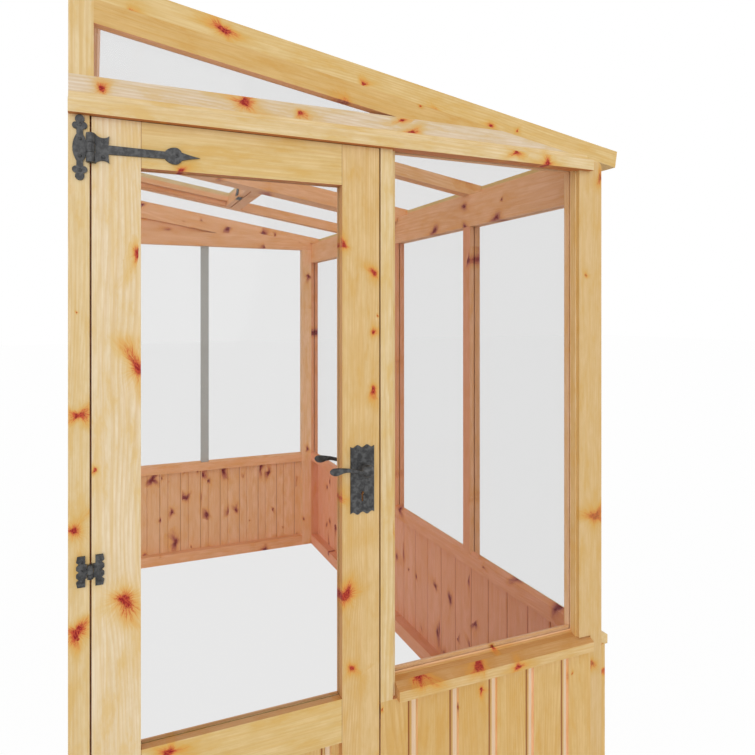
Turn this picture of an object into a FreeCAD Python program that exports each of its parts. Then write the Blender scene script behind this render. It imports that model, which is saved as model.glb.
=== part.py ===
"""Lean-to greenhouse in pine with black iron door furniture.

The tall open side stands against a house wall at x = 0. The front gable with the door
faces -Y, the low glazed long wall faces +X and the roof falls from the wall to it.
Everything is drawn from the foot of the wall side at the front corner, in millimetres,
and moved at the end so that the origin lies under the middle of the whole.
"""
import FreeCAD, Part
import math
import os

Vector = FreeCAD.Vector

# Main sizes
gable_width = 1266.0
building_length = 2484.0
gable_rise = 205.0
roof_pitch = 9.09
eaves_overhang = 67.0
sill_height = 508.0
window_head_height = 1792.0
head_rail_height = 78.0
eaves_below_head = 77.0

# Timber sections
frame_depth = 45.0
side_frame_depth = 42.0
door_post_width = 42.0
corner_stile_width = 37.0
side_post_width = 45.0
wall_post_width = 45.0
far_corner_stile_width = 57.0
sill_rail_height = 33.0
sill_upstand = 11.5
sill_bead_height = 5.0
sill_bead_slope = 9.0
bottom_rail_height = 54.0
rake_rail_height = 47.0
rafter_width = 45.0
rafter_height = 45.0
wall_rail_width = 61.0
middle_posts = 3
joint_batten_thickness = 20.0

# Glazing
glass_thickness = 4.0
glass_from_outside = 33.0
groove_depth = 8.0
glass_clearance = 0.4
joint_strip_width = 45.0
joint_strip_wall = 2.0
joint_strip_centre = 632.0

# Cladding and trim
board_thickness = 12.0
board_cover = 112.0
board_floor = 8.0
board_scoop = 8.0
board_scoop_depth = 6.0
board_slot_width = 2.5
board_slot_depth = 9.0
board_back_bevel_width = 4.0
board_back_bevel_depth = 3.0
board_lap = 8.0
board_gap = 0.5
board_foot = 10.0
first_board_joint = 732.0
corner_cover_width = 76.0
wall_cover_width = 38.0
door_cover_width = 31.0
lower_corner_overlap = 4.0
capping_projection = 14.0
capping_nose = 24.5
capping_bevel = 12.0
side_capping_set_back = 5.0
fillet_foot_drop = 3.0
fillet_height = 27.0
fillet_cove_height = 20.0
fillet_projection = 16.0
corner_block_drop = 13.0
corner_block_rounding = 13.0
fillet_short_of_corner = 40.0

# Door
door_width = 609.0
door_gap = 2.0
door_latch_gap = 3.5
door_thickness = 35.0
door_bottom = 33.0
door_head_gap = 3.0
door_stile_width = 91.0
door_top_rail_height = 93.0
door_mid_rail_top = 539.0
door_mid_rail_height = 98.0
door_bottom_rail_height = 120.0
door_glass_from_face = 19.0
door_panel_from_face = 20.0
door_stop_cover = 6.5
door_stop_gap = 2.0
threshold_height = 28.0

# Hinges
hinge_axis_out = 8.4
knuckle_radius = 8.0
pin_radius = 3.0
pin_clearance = 0.06
pin_end = 1.0
knuckle_gap = 0.5
iron_thickness = 4.0
hinge_relief = 0.6
hinge_from_door_end = 63.5
plate_offset = 18.5
plate_half_height = 63.0
plate_half_width = 13.0
strap_length = 206.0
strap_bar_height = 18.0
strap_head_length = 70.0
strap_head_half_height = 17.0
knuckle_stack = 56.0
ring_sides = 16
lobe_sides = 12
leaf_height = 59.0
leaf_width = 16.0
leaf_neck = 9.0
leaf_stack = 27.0
leaf_knuckle_radius = 5.5

# Lock and handles
spindle_height = 1055.0
backset = 43.0
plate_width = 58.0
plate_height = 158.0
plate_above_spindle = 53.0
handle_plate_thickness = 3.0
key_drop = 57.0
keyhole_radius = 4.2
keyhole_slot = 19.0
spindle_square = 8.0
spindle_hole_radius = 6.4
lever_reach = 90.0
lever_stand_off = 38.0
lever_boss_radius = 11.5
lever_boss_height = 12.0
lock_case_thickness = 15.0
lock_case_depth = 75.0
lock_case_height = 148.0
bolt_height = 16.0
bolt_thickness = 8.0
bolt_throw = 12.0
latch_nose = 2.5
slide_clearance = 0.4
keep_thickness = 1.5

# Roof vent
vent_stile_width = 32.0
vent_top_rail_width = 44.0
vent_bottom_rail_width = 45.0
vent_length = 634.0
vent_proud = 20.0
vent_side_gap = 3.0
vent_seat_depth = 22.0
vent_ledge_width = 12.0
vent_ledge_height = 17.0
vent_head_gap = 2.0
vent_foot_rest = 19.0
vent_foot_gap = 3.0
vent_foot_clearance = 5.0
vent_hinge_inset = 105.0
pull_plate_length = 56.0
pull_plate_width = 46.0
curb_width = 30.0
button_length = 62.0
button_width = 20.0
button_shank_radius = 3.0
seat_clearance = 0.3

# Fineness of small curves
scoop_steps = 3
wave_steps = 5

# Places worked out from the sizes above
frame_layer = (board_thickness, board_thickness + frame_depth)
board_layer = (0.0, board_thickness)
glass_layer = (glass_from_outside, glass_from_outside + glass_thickness)
side_inner = gable_width
side_outer = gable_width + side_frame_depth
side_face = side_outer + board_thickness
frame_front = board_thickness
frame_back = building_length - board_thickness
sill_ledge = sill_height + sill_rail_height
head_top = window_head_height + head_rail_height
roof_top_at_wall = head_top + gable_rise
eaves_glass_top = window_head_height - eaves_below_head
fillet_foot = window_head_height - fillet_foot_drop
corner_block_foot = fillet_foot - corner_block_drop
slope = math.radians(roof_pitch)
roof_end_x = side_outer + eaves_overhang
door_left = wall_cover_width + door_gap
door_right = door_left + door_width
door_top = window_head_height - door_head_gap
door_post_left = door_right + door_latch_gap
door_cover_right = door_post_left + door_cover_width
door_post_right = door_post_left + door_post_width
corner_stile_left = gable_width - corner_stile_width
far_stile_left = gable_width - far_corner_stile_width
hinge_x = wall_cover_width + door_gap / 2
spindle_x = door_right - backset


def slab(x, y, z):
    """A squared timber from its low and high x, y and z."""
    return Part.makeBox(x[1] - x[0], y[1] - y[0], z[1] - z[0], Vector(x[0], y[0], z[0]))


def outline(points):
    """A flat face from the corners of its outline."""
    corners = [Vector(*point) for point in points]
    return Part.Face(Part.makePolygon(corners + corners[:1]))


def prism_y(points, y):
    """An outline in x and z, drawn out along y."""
    return outline([(x, y[0], z) for x, z in points]).extrude(Vector(0, y[1] - y[0], 0))


def prism_x(points, x):
    """An outline in y and z, drawn out along x."""
    return outline([(x[0], y, z) for y, z in points]).extrude(Vector(x[1] - x[0], 0, 0))


def rod(radius, length, foot, direction):
    """A round bar."""
    return Part.makeCylinder(radius, length, Vector(*foot), Vector(*direction))


def joined(shapes):
    """One solid from pieces that meet."""
    whole = shapes[0]
    for shape in shapes[1:]:
        whole = whole.fuse(shape)
    return whole.removeSplitter()


def grown(low_high, by):
    """A range made longer at both ends."""
    return (low_high[0] - by, low_high[1] + by)


def gable_layer(layer, far):
    """A layer counted inwards from the cladding face of the front or the far gable."""
    if far:
        return (building_length - layer[1], building_length - layer[0])
    return layer


def side_layer(layer):
    """A layer counted inwards from the cladding face of the long wall."""
    return (side_face - layer[1], side_face - layer[0])


def roof_point(u, y, w):
    """A point given down the slope, along the building and square out of the roof."""
    x = u * math.cos(slope) + w * math.sin(slope)
    z = roof_top_at_wall - u * math.sin(slope) + w * math.cos(slope)
    return Vector(x, y, z)


def on_roof(shape):
    """Moves a shape drawn flat, with x down the slope, into the plane of the roof."""
    shape.rotate(Vector(0, 0, 0), Vector(0, 1, 0), roof_pitch)
    shape.translate(Vector(0, 0, roof_top_at_wall))
    return shape


def roof_slab(u, y, w):
    """A roof timber from its ranges down the slope, along the building and in depth."""
    return on_roof(slab(u, y, w))


def roof_line(depth, x):
    """Height at x of the plane that lies a given depth square below the roof's top."""
    return roof_top_at_wall - depth / math.cos(slope) - x * math.tan(slope)


def roof_line_x(depth, height):
    """Where that plane comes down to a given height."""
    return (roof_top_at_wall - depth / math.cos(slope) - height) / math.tan(slope)


def under_roof(shape):
    """Cuts a shape off at the underside of the roof frame."""
    above = roof_slab((-200.0, 3000.0), (-200.0, building_length + 200.0), (-rafter_height, 900.0))
    return shape.cut(above)


parts = {}


def group(name, solids):
    """Keeps the separate solids of one part."""
    parts[name] = solids[0] if len(solids) == 1 else Part.makeCompound(solids)


# Glass panes, and the grooves that they need in the timber round them


def pane_in_gable(x, z, far):
    """A pane between two uprights, and the groove space that goes with it."""
    layer = gable_layer(glass_layer, far)
    x_in = grown(x, groove_depth)
    z_in = grown(z, groove_depth)
    pane = slab(grown(x_in, -glass_clearance), layer, grown(z_in, -glass_clearance))
    groove = slab(x_in, layer, z_in)
    return pane, groove


def gable_triangle():
    """The three-cornered pane over the door, in a rebate that is open to the inside."""
    foot = head_top - groove_depth
    rail_under = rafter_height + rake_rail_height
    tip = roof_line_x(rail_under, head_top + groove_depth)
    left = wall_post_width - groove_depth

    def shape(shrink, layer):
        low = foot + shrink
        start = left + shrink
        end = tip - shrink
        top = rail_under - groove_depth + shrink
        points = [(start, low), (end, low), (end, roof_line(top, end)), (start, roof_line(top, start))]
        return prism_y(points, layer)

    pane = shape(glass_clearance, glass_layer)
    groove = shape(0.0, (glass_layer[0], frame_layer[1] + 1.0))
    return pane, groove


window_z = (sill_ledge + sill_upstand, window_head_height)
front_pane, front_groove = pane_in_gable((door_post_right, corner_stile_left), window_z, False)
triangle_pane, triangle_groove = gable_triangle()

strip_web = joint_strip_wall + 2 * glass_clearance
half_web = groove_depth + strip_web / 2
far_left_pane, far_left_groove = pane_in_gable(
    (wall_post_width, joint_strip_centre - half_web), window_z, True)
far_right_pane, far_right_groove = pane_in_gable(
    (joint_strip_centre + half_web, far_stile_left), window_z, True)

post_pitch = (frame_back - frame_front) / (middle_posts + 1)
post_centres = [frame_front + post_pitch * (n + 1) for n in range(middle_posts)]
post_edges = [frame_front + side_post_width / 2] + post_centres + [frame_back - side_post_width / 2]
side_z = (window_z[0], eaves_glass_top)
side_panes = []
side_grooves = []
for near, next_one in zip(post_edges[:-1], post_edges[1:]):
    y = (near + side_post_width / 2 - groove_depth, next_one - side_post_width / 2 + groove_depth)
    z = grown(side_z, groove_depth)
    layer = side_layer(glass_layer)
    side_panes.append(slab(layer, grown(y, -glass_clearance), grown(z, -glass_clearance)))
    side_grooves.append(slab(layer, y, z))

group("front_window_pane", [front_pane])
group("gable_window_pane", [triangle_pane])
group("far_window_panes", [far_left_pane, far_right_pane])
group("side_window_panes", side_panes)


# Front gable


def wall_post(far):
    """The post that stands against the house wall, up to the head rail."""
    post = slab((0.0, wall_post_width), gable_layer(frame_layer, far), (0.0, window_head_height))
    if far:
        return post.cut(far_left_groove)
    return post.cut(slab((wall_cover_width, wall_post_width),
                         (0.0, door_thickness + door_stop_gap), (0.0, window_head_height)))


def upper_post(far):
    """The short upright on the wall side, from the head rail to the roof."""
    post = slab((0.0, wall_post_width), gable_layer(frame_layer, far), (head_top, roof_top_at_wall))
    post = under_roof(post)
    return post if far else post.cut(triangle_groove)


def bolt_pockets(depth):
    """The two mortices for the bolts, as deep as asked past the door's edge."""
    bolts = [spindle_height, spindle_height - key_drop]
    middle = door_thickness / 2
    y = grown((middle - bolt_thickness / 2, middle + bolt_thickness / 2), slide_clearance)
    pockets = []
    for height in bolts:
        z = grown((height - bolt_height / 2, height + bolt_height / 2), slide_clearance)
        pockets.append(slab((door_right, door_post_left + depth), y, z))
    return pockets


keep_z = (spindle_height - key_drop - 22.0, spindle_height + 22.0)
keep_y = (frame_layer[0] + 0.5, door_thickness - 5.0)


def door_post():
    """The post between the door and the window, rebated for the door and its keep."""
    post = slab((door_post_left - door_stop_cover, door_post_right), frame_layer,
                (0.0, window_head_height))
    rebate = slab((door_post_left - door_stop_cover, door_post_left),
                  (0.0, door_thickness + door_stop_gap), (threshold_height, window_head_height))
    post = post.cut(rebate).cut(front_groove)
    post = post.cut(slab((door_post_left, door_post_left + keep_thickness), keep_y, keep_z))
    for pocket in bolt_pockets(bolt_throw):
        post = post.cut(pocket)
    return post


def head_rail(far):
    """The level rail over the door and window, cut away under the slope."""
    layer = gable_layer(frame_layer, far)
    rail = slab((0.0, gable_width), layer, (window_head_height, head_top))
    rail = under_roof(rail)
    if far:
        return rail.cut(far_left_groove).cut(far_right_groove)
    return rail.cut(front_groove).cut(triangle_groove)


def rake_rail(far):
    """The sloping top rail of a gable, which dies into the head rail."""
    upper = rafter_height
    lower = rafter_height + rake_rail_height
    points = [
        (wall_post_width, roof_line(lower, wall_post_width)),
        (roof_line_x(lower, head_top), head_top),
        (roof_line_x(upper, head_top), head_top),
        (wall_post_width, roof_line(upper, wall_post_width)),
    ]
    return prism_y(points, gable_layer(frame_layer, far))


def sill_section(layer_at, depth):
    """Section of a sill rail: a ledge outside, a bead before the glass, a slope inside."""
    outside = board_thickness
    inside = board_thickness + depth
    bead = glass_layer[0] - sill_bead_height
    behind = glass_layer[1]
    top = sill_ledge + sill_upstand
    section = [
        (outside, sill_height), (inside, sill_height), (inside, top),
        (behind, top + sill_bead_slope), (behind, top), (glass_layer[0], top),
        (bead, top - sill_bead_height), (bead, sill_ledge + sill_bead_height), (outside, sill_ledge),
    ]
    return [(layer_at(depth), height) for depth, height in section]


def capping_section(layer_at):
    """Section of the capping: a bevelled nose that hooks over the ends of the boards."""
    nose_top = sill_ledge - capping_bevel
    section = [
        (-capping_projection, nose_top - capping_nose), (-capping_projection, nose_top),
        (board_thickness, sill_ledge), (board_thickness, sill_height),
        (0.0, sill_height), (0.0, nose_top - capping_nose),
    ]
    return [(layer_at(depth), height) for depth, height in section]


def at_front(depth):
    return depth


def at_far(depth):
    return building_length - depth


def at_side(depth):
    return side_face - depth


corner_stile = slab((corner_stile_left, gable_width), frame_layer, (0.0, window_head_height))
group("front_posts", [wall_post(False), upper_post(False), door_post(), corner_stile.cut(front_groove)])
group("front_head_rail", [head_rail(False)])
group("gable_rake_rails", [rake_rail(False).cut(triangle_groove), rake_rail(True)])
group("front_window_rails", [
    prism_x(sill_section(at_front, frame_depth), (door_post_right, corner_stile_left)).cut(front_groove),
    slab((door_post_right, corner_stile_left), frame_layer, (0.0, bottom_rail_height))])
group("door_threshold", [
    slab((wall_post_width, door_post_left - door_stop_cover), frame_layer, (0.0, threshold_height))])

capping_end = gable_width + lower_corner_overlap
group("front_sill_capping", [
    prism_x(capping_section(at_front), (door_post_right, capping_end))])


def drip_fillet():
    """The moulding over the door and window: an upright nose with a cove above it."""
    foot = fillet_foot
    top = foot + fillet_height
    nose = -fillet_projection
    back = frame_layer[0]
    crown = top + fillet_cove_height
    points = [(nose, foot), (nose, top), (nose + 3.0, top)]
    corners = [Vector(0.0, y, z) for y, z in points]
    shoulder = Vector(0.0, back, crown)
    hollow = Vector(0.0, back - (back - nose) * 0.32, top + fillet_cove_height * 0.28)
    heel = Vector(0.0, back, foot)
    edges = [Part.makeLine(a, b) for a, b in zip(corners[:-1], corners[1:])]
    edges.append(Part.Arc(corners[-1], hollow, shoulder).toShape())
    edges.append(Part.makeLine(shoulder, heel))
    edges.append(Part.makeLine(heel, corners[0]))
    return Part.Face(Part.Wire(edges)).extrude(Vector(fillet_end, 0, 0))


fillet_end = side_outer - fillet_short_of_corner
group("front_drip_fillet", [drip_fillet()])


def corner_cover(far):
    """The upright board over the corner joint."""
    left = side_outer - corner_cover_width
    high = roof_line(rafter_height, side_outer) - 1.0 if far else corner_block_foot
    return slab((left, side_outer), gable_layer(board_layer, far), (sill_ledge, high))


def corner_block():
    """The block over the front corner board, rounded at the top and notched for the fillet."""
    left = side_outer - corner_cover_width
    top = fillet_foot + fillet_height
    block = slab((left, side_outer), board_layer, (corner_block_foot, top))
    block = block.cut(slab((left - 1.0, fillet_end), grown(board_layer, 1.0), (fillet_foot, top + 1.0)))
    upright = [edge for edge in block.Edges
               if edge.BoundBox.XMin > side_outer - 0.1 and edge.BoundBox.ZMin > top - 0.1]
    return block.makeFillet(corner_block_rounding, upright)


def lower_corner_strip(far):
    """The narrow board that closes the cladding at the corner below the capping."""
    return slab((capping_end, side_outer), gable_layer(board_layer, far), (board_foot, sill_ledge))


group("front_cover_boards", [
    slab((0.0, wall_cover_width), board_layer, (board_foot, fillet_foot)),
    slab((door_post_left, door_cover_right), board_layer, (sill_height, fillet_foot)),
    corner_cover(False),
    corner_block(),
    lower_corner_strip(False)])


# Match boarding


def board_face(start):
    """Section of one board: a scooped edge that the next board's lip laps over."""
    floor_end = start + board_floor
    scoop = []
    for n in range(scoop_steps + 1):
        turn = math.pi / 2 * n / scoop_steps
        scoop.append((floor_end + board_scoop * math.sin(turn), board_scoop_depth * math.cos(turn)))
    lip = board_scoop_depth - board_gap
    tongue = start - board_lap + board_gap
    end = start + board_cover - board_gap
    heel = end - board_lap + board_gap
    back = board_thickness
    bevel = board_back_bevel_width
    inner = back - board_back_bevel_depth
    slot = start + board_slot_width
    corners = [(end, 0.0), (end, lip), (heel, lip), (heel, inner), (heel - bevel, back),
               (tongue + bevel, back), (tongue, inner), (tongue, board_scoop_depth),
               (start, board_scoop_depth), (start, board_slot_depth), (slot, board_slot_depth),
               (slot, board_scoop_depth)]
    return outline([(x, y, 0.0) for x, y in corners + scoop])


def boarding(first_joint, span, z):
    """Boards side by side over a span, the outer ones ripped to fit it."""
    count_before = math.ceil((first_joint - span[0]) / board_cover)
    boards = []
    start = first_joint - count_before * board_cover
    room = slab(span, (-1.0, board_thickness + 1.0), z)
    while start < span[1] - board_lap:
        board = board_face(start).extrude(Vector(0, 0, z[1] - z[0]))
        board.translate(Vector(0, 0, z[0]))
        piece = board.common(room)
        boards.extend(solid for solid in piece.Solids if solid.BoundBox.XLength > board_lap + 1.0)
        start += board_cover
    return boards


board_z = (board_foot, sill_height)
group("front_match_boards", boarding(first_board_joint, (door_post_left, capping_end), board_z))

far_boards = boarding(first_board_joint, (0.0, capping_end), board_z)
for board in far_boards:
    board.rotate(Vector(capping_end / 2, 0, 0), Vector(0, 0, 1), 180)
    board.translate(Vector(0, building_length, 0))
group("far_match_boards", far_boards)

side_boards = boarding(0.0, (0.0, building_length), board_z)
for board in side_boards:
    board.rotate(Vector(0, 0, 0), Vector(0, 0, 1), 90)
    board.translate(Vector(side_face, 0, 0))
group("side_match_boards", side_boards)


# Far gable


def gable_infill():
    """The solid three-cornered panel that fills the far gable over the head rail."""
    rail_under = rafter_height + rake_rail_height
    points = [(wall_post_width, head_top), (roof_line_x(rail_under, head_top), head_top),
              (wall_post_width, roof_line(rail_under, wall_post_width))]
    layer = (glass_from_outside - board_thickness / 2, glass_from_outside + board_thickness / 2)
    return prism_y(points, gable_layer(layer, True))


def joint_strip():
    """The grey strip of H section that joins the two panes of the far window."""
    layer = gable_layer(grown(glass_layer, joint_strip_wall), True)
    x = grown((joint_strip_centre, joint_strip_centre), joint_strip_width / 2)
    strip = slab(x, layer, window_z)
    slot_layer = gable_layer(glass_layer, True)
    half_wall = joint_strip_wall / 2
    strip = strip.cut(slab((x[0], joint_strip_centre - half_wall), slot_layer, window_z))
    return strip.cut(slab((joint_strip_centre + half_wall, x[1]), slot_layer, window_z))


far_frame = gable_layer(frame_layer, True)
group("far_posts", [
    wall_post(True),
    upper_post(True),
    slab((far_stile_left, gable_width), far_frame, (0.0, window_head_height)).cut(far_right_groove)])
far_sill = prism_x(sill_section(at_far, frame_depth), (wall_post_width, far_stile_left))
strip_room = slab(grown((joint_strip_centre, joint_strip_centre), joint_strip_width / 2), far_frame,
                  (window_z[0], window_head_height))
group("far_rails", [
    slab((wall_post_width, far_stile_left), far_frame, (0.0, bottom_rail_height)),
    far_sill.cut(far_left_groove).cut(far_right_groove).cut(strip_room),
    head_rail(True)])
group("far_gable_infill", [gable_infill()])
group("far_joint_strip", [joint_strip()])
group("far_sill_capping", [prism_x(capping_section(at_far), (0.0, capping_end))])
group("far_cover_boards", [
    slab((0.0, wall_cover_width), gable_layer(board_layer, True), (sill_ledge, window_head_height)),
    corner_cover(True),
    lower_corner_strip(True)])


# Long wall


def cut_all(shape, cutters):
    """A shape with a list of others taken out of it."""
    for cutter in cutters:
        shape = shape.cut(cutter)
    return shape


side_frame = (side_inner, side_outer)
corner_posts = [(frame_front, frame_front + side_post_width), (frame_back - side_post_width, frame_back)]
group("side_corner_posts", [
    cut_all(slab(side_frame, y, (bottom_rail_height, eaves_glass_top)), side_grooves)
    for y in corner_posts])
sill_y = (corner_posts[0][1], corner_posts[1][0])
post_foot = sill_ledge + sill_upstand + sill_bead_slope
group("side_middle_posts", [
    cut_all(slab(side_frame, grown((centre, centre), side_post_width / 2), (post_foot, eaves_glass_top)),
            side_grooves)
    for centre in post_centres])
group("side_bottom_rail", [slab(side_frame, (frame_front, frame_back), (0.0, bottom_rail_height))])


def side_sill():
    """The sill rail of the long wall, raised flat under each middle post."""
    rail = prism_y(sill_section(at_side, side_frame_depth), sill_y)
    for centre in post_centres:
        y = grown((centre, centre), side_post_width / 2)
        rail = rail.fuse(slab(side_frame, y, (sill_height, post_foot)))
    return cut_all(rail.removeSplitter(), side_grooves)


group("side_sill_rail", [side_sill()])
eaves_plate = slab(side_frame, (frame_front, frame_back), (eaves_glass_top, roof_top_at_wall))
group("side_eaves_plate", [cut_all(under_roof(eaves_plate), side_grooves)])
capping_y = (side_capping_set_back, building_length - side_capping_set_back)
group("side_sill_capping", [prism_y(capping_section(at_side), capping_y)])


# Roof

roof_depth = (-rafter_height, 0.0)
roof_glass = (-glass_thickness, 0.0)
roof_rebate = (-glass_thickness, 1.0)
eaves_u = (side_outer + rafter_height * math.sin(slope)) / math.cos(slope)
roof_end_u = roof_end_x / math.cos(slope)
panel_joint = building_length / 2
vent_y = (panel_joint + rafter_width, post_centres[-1] - rafter_width / 2)
sash_top_u = wall_rail_width + vent_head_gap
sash_foot_u = sash_top_u + vent_length
trimmer_u = sash_foot_u - vent_foot_rest
trimmer_range = (trimmer_u, trimmer_u + rafter_width)

end_rafter_y = [(frame_front, frame_front + rafter_width), (frame_back - rafter_width, frame_back)]
single_rafter_y = [grown((centre, centre), rafter_width / 2)
                   for centre in (post_centres[0], post_centres[-1])]
joint_rafter_y = [(panel_joint - rafter_width, panel_joint), (panel_joint, panel_joint + rafter_width)]

bays = [
    ((wall_rail_width, eaves_u), (end_rafter_y[0][1], single_rafter_y[0][0])),
    ((wall_rail_width, eaves_u), (single_rafter_y[0][1], joint_rafter_y[0][0])),
    ((trimmer_range[1], eaves_u), vent_y),
    ((wall_rail_width, eaves_u), (single_rafter_y[1][1], end_rafter_y[1][0])),
]
roof_grooves = []
roof_panes = []
for u, y in bays:
    u_in = grown(u, groove_depth)
    y_in = grown(y, groove_depth)
    roof_grooves.append(roof_slab(u_in, y_in, roof_rebate))
    roof_panes.append(roof_slab(grown(u_in, -glass_clearance), grown(y_in, -glass_clearance), roof_glass))
group("roof_panes", roof_panes)


def plumb(shape):
    """Cuts the upper end of a roof timber upright, in line with the house wall."""
    behind = slab((-300.0, 0.0), (-100.0, building_length + 100.0), (0.0, roof_top_at_wall + 300.0))
    return shape.cut(behind)


def rafter(u, y):
    return cut_all(roof_slab(u, y, roof_depth), roof_grooves)


group("roof_end_rafters", [plumb(rafter((-20.0, roof_end_u), y)) for y in end_rafter_y])
group("roof_middle_rafters", [rafter((wall_rail_width, eaves_u), y) for y in single_rafter_y])
batten_depth = (-rafter_height - joint_batten_thickness, -rafter_height)
batten_end_u = (side_inner + rafter_height * math.sin(slope)) / math.cos(slope)
group("roof_joint_rafters", [rafter((wall_rail_width, eaves_u), y) for y in joint_rafter_y] + [
    roof_slab((wall_rail_width, batten_end_u), (joint_rafter_y[0][0], joint_rafter_y[1][1]), batten_depth)])

rail_y = [(end_rafter_y[0][1], panel_joint), (panel_joint, end_rafter_y[1][0])]
group("roof_wall_rails", [plumb(rafter((-20.0, wall_rail_width), y)) for y in rail_y])
group("roof_eaves_rails", [rafter((eaves_u, roof_end_u), y) for y in rail_y])
sash_rest = roof_slab((trimmer_u - 1.0, sash_foot_u + vent_foot_gap), grown(vent_y, 1.0),
                      (-vent_seat_depth - seat_clearance, 1.0))
group("vent_trimmer", [rafter(trimmer_range, vent_y).cut(sash_rest)])


# Roof vent

sash_y = grown(vent_y, -vent_side_gap)
sash_w = (-vent_seat_depth, vent_proud)
foot_rail_u = (sash_foot_u - vent_bottom_rail_width, sash_foot_u)
head_rail_u = (sash_top_u, sash_top_u + vent_top_rail_width)
sash_glass = (vent_proud - glass_thickness, vent_proud)
glass_u = grown((head_rail_u[1], foot_rail_u[0]), groove_depth)
glass_y = grown(grown(sash_y, -vent_stile_width), groove_depth)
sash_groove = roof_slab(glass_u, glass_y, (sash_glass[0], vent_proud + 1.0))
foot_tail_u = (foot_rail_u[0], trimmer_u - vent_foot_clearance)
button_u = (foot_tail_u[0] + foot_tail_u[1]) / 2
button_y = (vent_y[0] + vent_y[1]) / 2
button_w = -rafter_height - seat_clearance
hinge_u = sash_top_u - 1.0

shank_length = 24.0
shank_foot = (button_u, button_y, button_w)
shank_hole = on_roof(rod(button_shank_radius + pin_clearance, shank_length + 2.0,
                         (button_u, button_y, -rafter_height), (0, 0, 1)))

group("vent_pane", [roof_slab(grown(glass_u, -glass_clearance), grown(glass_y, -glass_clearance), sash_glass)])
sash_sides = [(sash_y[0], sash_y[0] + vent_stile_width), (sash_y[1] - vent_stile_width, sash_y[1])]
group("vent_stiles", [
    roof_slab((head_rail_u[1], foot_rail_u[0]), y, sash_w).cut(sash_groove) for y in sash_sides])
foot_rail = joined([roof_slab(foot_rail_u, sash_y, sash_w),
                    roof_slab(foot_tail_u, sash_y, (-rafter_height, -vent_seat_depth))])
foot_rail = foot_rail.cut(sash_groove).cut(shank_hole)
group("vent_rails", [
    roof_slab(head_rail_u, sash_y, sash_w).cut(sash_groove),
    foot_rail])
ledge_w = (-vent_seat_depth - seat_clearance - vent_ledge_height, -vent_seat_depth - seat_clearance)
ledge_u = (wall_rail_width, foot_rail_u[0] - 2.0)
group("vent_seat", [
    roof_slab(ledge_u, (vent_y[0], vent_y[0] + vent_ledge_width), ledge_w),
    roof_slab(ledge_u, (vent_y[1] - vent_ledge_width, vent_y[1]), ledge_w),
    roof_slab((wall_rail_width - curb_width, wall_rail_width), vent_y, (0.0, vent_proud))])


def scalloped_plate(length, width, thickness, waves, first=1):
    """A plate centred on the origin in x and y, with waves along both of its short ends."""
    height = width / waves / 4
    steps = waves * wave_steps
    end = []
    for n in range(steps + 1):
        along = n / steps
        wave = height * first * math.sin(math.pi * waves * along)
        end.append((width * (along - 0.5), length / 2 - height + wave))
    other_end = [(-x, -y) for x, y in end]
    return outline([(x, y, 0.0) for x, y in end + other_end]).extrude(Vector(0, 0, thickness))


button_plate = scalloped_plate(button_length, button_width, 3.0, 3)
button_plate.translate(Vector(button_u, button_y, button_w - 3.0))
button_shank = rod(button_shank_radius, shank_length, shank_foot, (0, 0, 1))
group("vent_turn_button", [on_roof(joined([button_plate, button_shank]))])

pull_plate = scalloped_plate(pull_plate_length, pull_plate_width, handle_plate_thickness, 3)
pull_plate.rotate(Vector(0, 0, 0), Vector(0, 1, 0), -90)
pull_plate.translate(Vector(foot_rail_u[0], button_y, (vent_proud - rafter_height) / 2))
group("vent_pull_plate", [on_roof(pull_plate)])


# Hinges


def many_sided(x, z, radius, sides):
    """The corners of a regular outline round a point."""
    turns = [2 * math.pi * (n + 0.5) / sides for n in range(sides)]
    return [(x + radius * math.cos(turn), z + radius * math.sin(turn)) for turn in turns]


def knuckle(radius, z, bore):
    """One forged ring of a hinge, on the z axis, round inside."""
    corners = many_sided(0.0, 0.0, radius, ring_sides)
    ring = outline([(x, y, z[0]) for x, y in corners]).extrude(Vector(0, 0, z[1] - z[0]))
    return ring.cut(rod(bore, z[1] - z[0] + 2.0, (0, 0, z[0] - 1.0), (0, 0, 1)))


def three_knuckles(stack):
    """The heights of three equal rings with a small gap between them."""
    each = (stack - 2 * knuckle_gap) / 3
    starts = [-stack / 2 + n * (each + knuckle_gap) for n in range(3)]
    return [(start, start + each) for start in starts]


def flat_iron(face, thickness):
    """Iron cut from an outline in x and z, with its back on the timber's face."""
    plate = face.extrude(Vector(0, -thickness, 0))
    plate.translate(Vector(0, hinge_axis_out, 0))
    return plate


def lobe_of_iron(x, z, radius):
    corners = many_sided(x, z, radius, lobe_sides)
    return flat_iron(outline([(px, 0.0, pz) for px, pz in corners]), iron_thickness)


def arc_face(arcs):
    """A face bounded by arcs and lines, each given by its two or three points."""
    edges = []
    for points in arcs:
        ends = [Vector(x, 0, z) for x, z in points]
        if len(ends) == 2:
            edges.append(Part.makeLine(ends[0], ends[1]))
        else:
            edges.append(Part.Arc(ends[0], ends[1], ends[2]).toShape())
    return Part.Face(Part.Wire(edges))


def web(side, z, radius):
    """The short arm from a ring to its plate, on the post side (-1) or the door side (1)."""
    x = sorted((side * 1.0, side * (radius + hinge_relief + 1.5)))
    return slab(x, (hinge_axis_out - iron_thickness - 1.0, hinge_axis_out), z)


def rings_on_pin(rings, radius, side, clearance):
    """Rings of one leaf with their arms and the bore for the pin."""
    shapes = []
    for z in rings:
        ring = knuckle(radius, z, pin_radius + clearance)
        arm = web(side, z, radius).cut(rod(pin_radius + clearance, z[1] - z[0] + 2.0,
                                           (0, 0, z[0] - 1.0), (0, 0, 1)))
        shapes.extend([ring, arm])
    return shapes


def clear_of_rings(plate, stack, radius):
    """Takes the room for the rings out of a plate."""
    return plate.cut(rod(radius + hinge_relief, stack + 2.0, (0, 0, -stack / 2 - 1.0), (0, 0, 1)))


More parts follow.
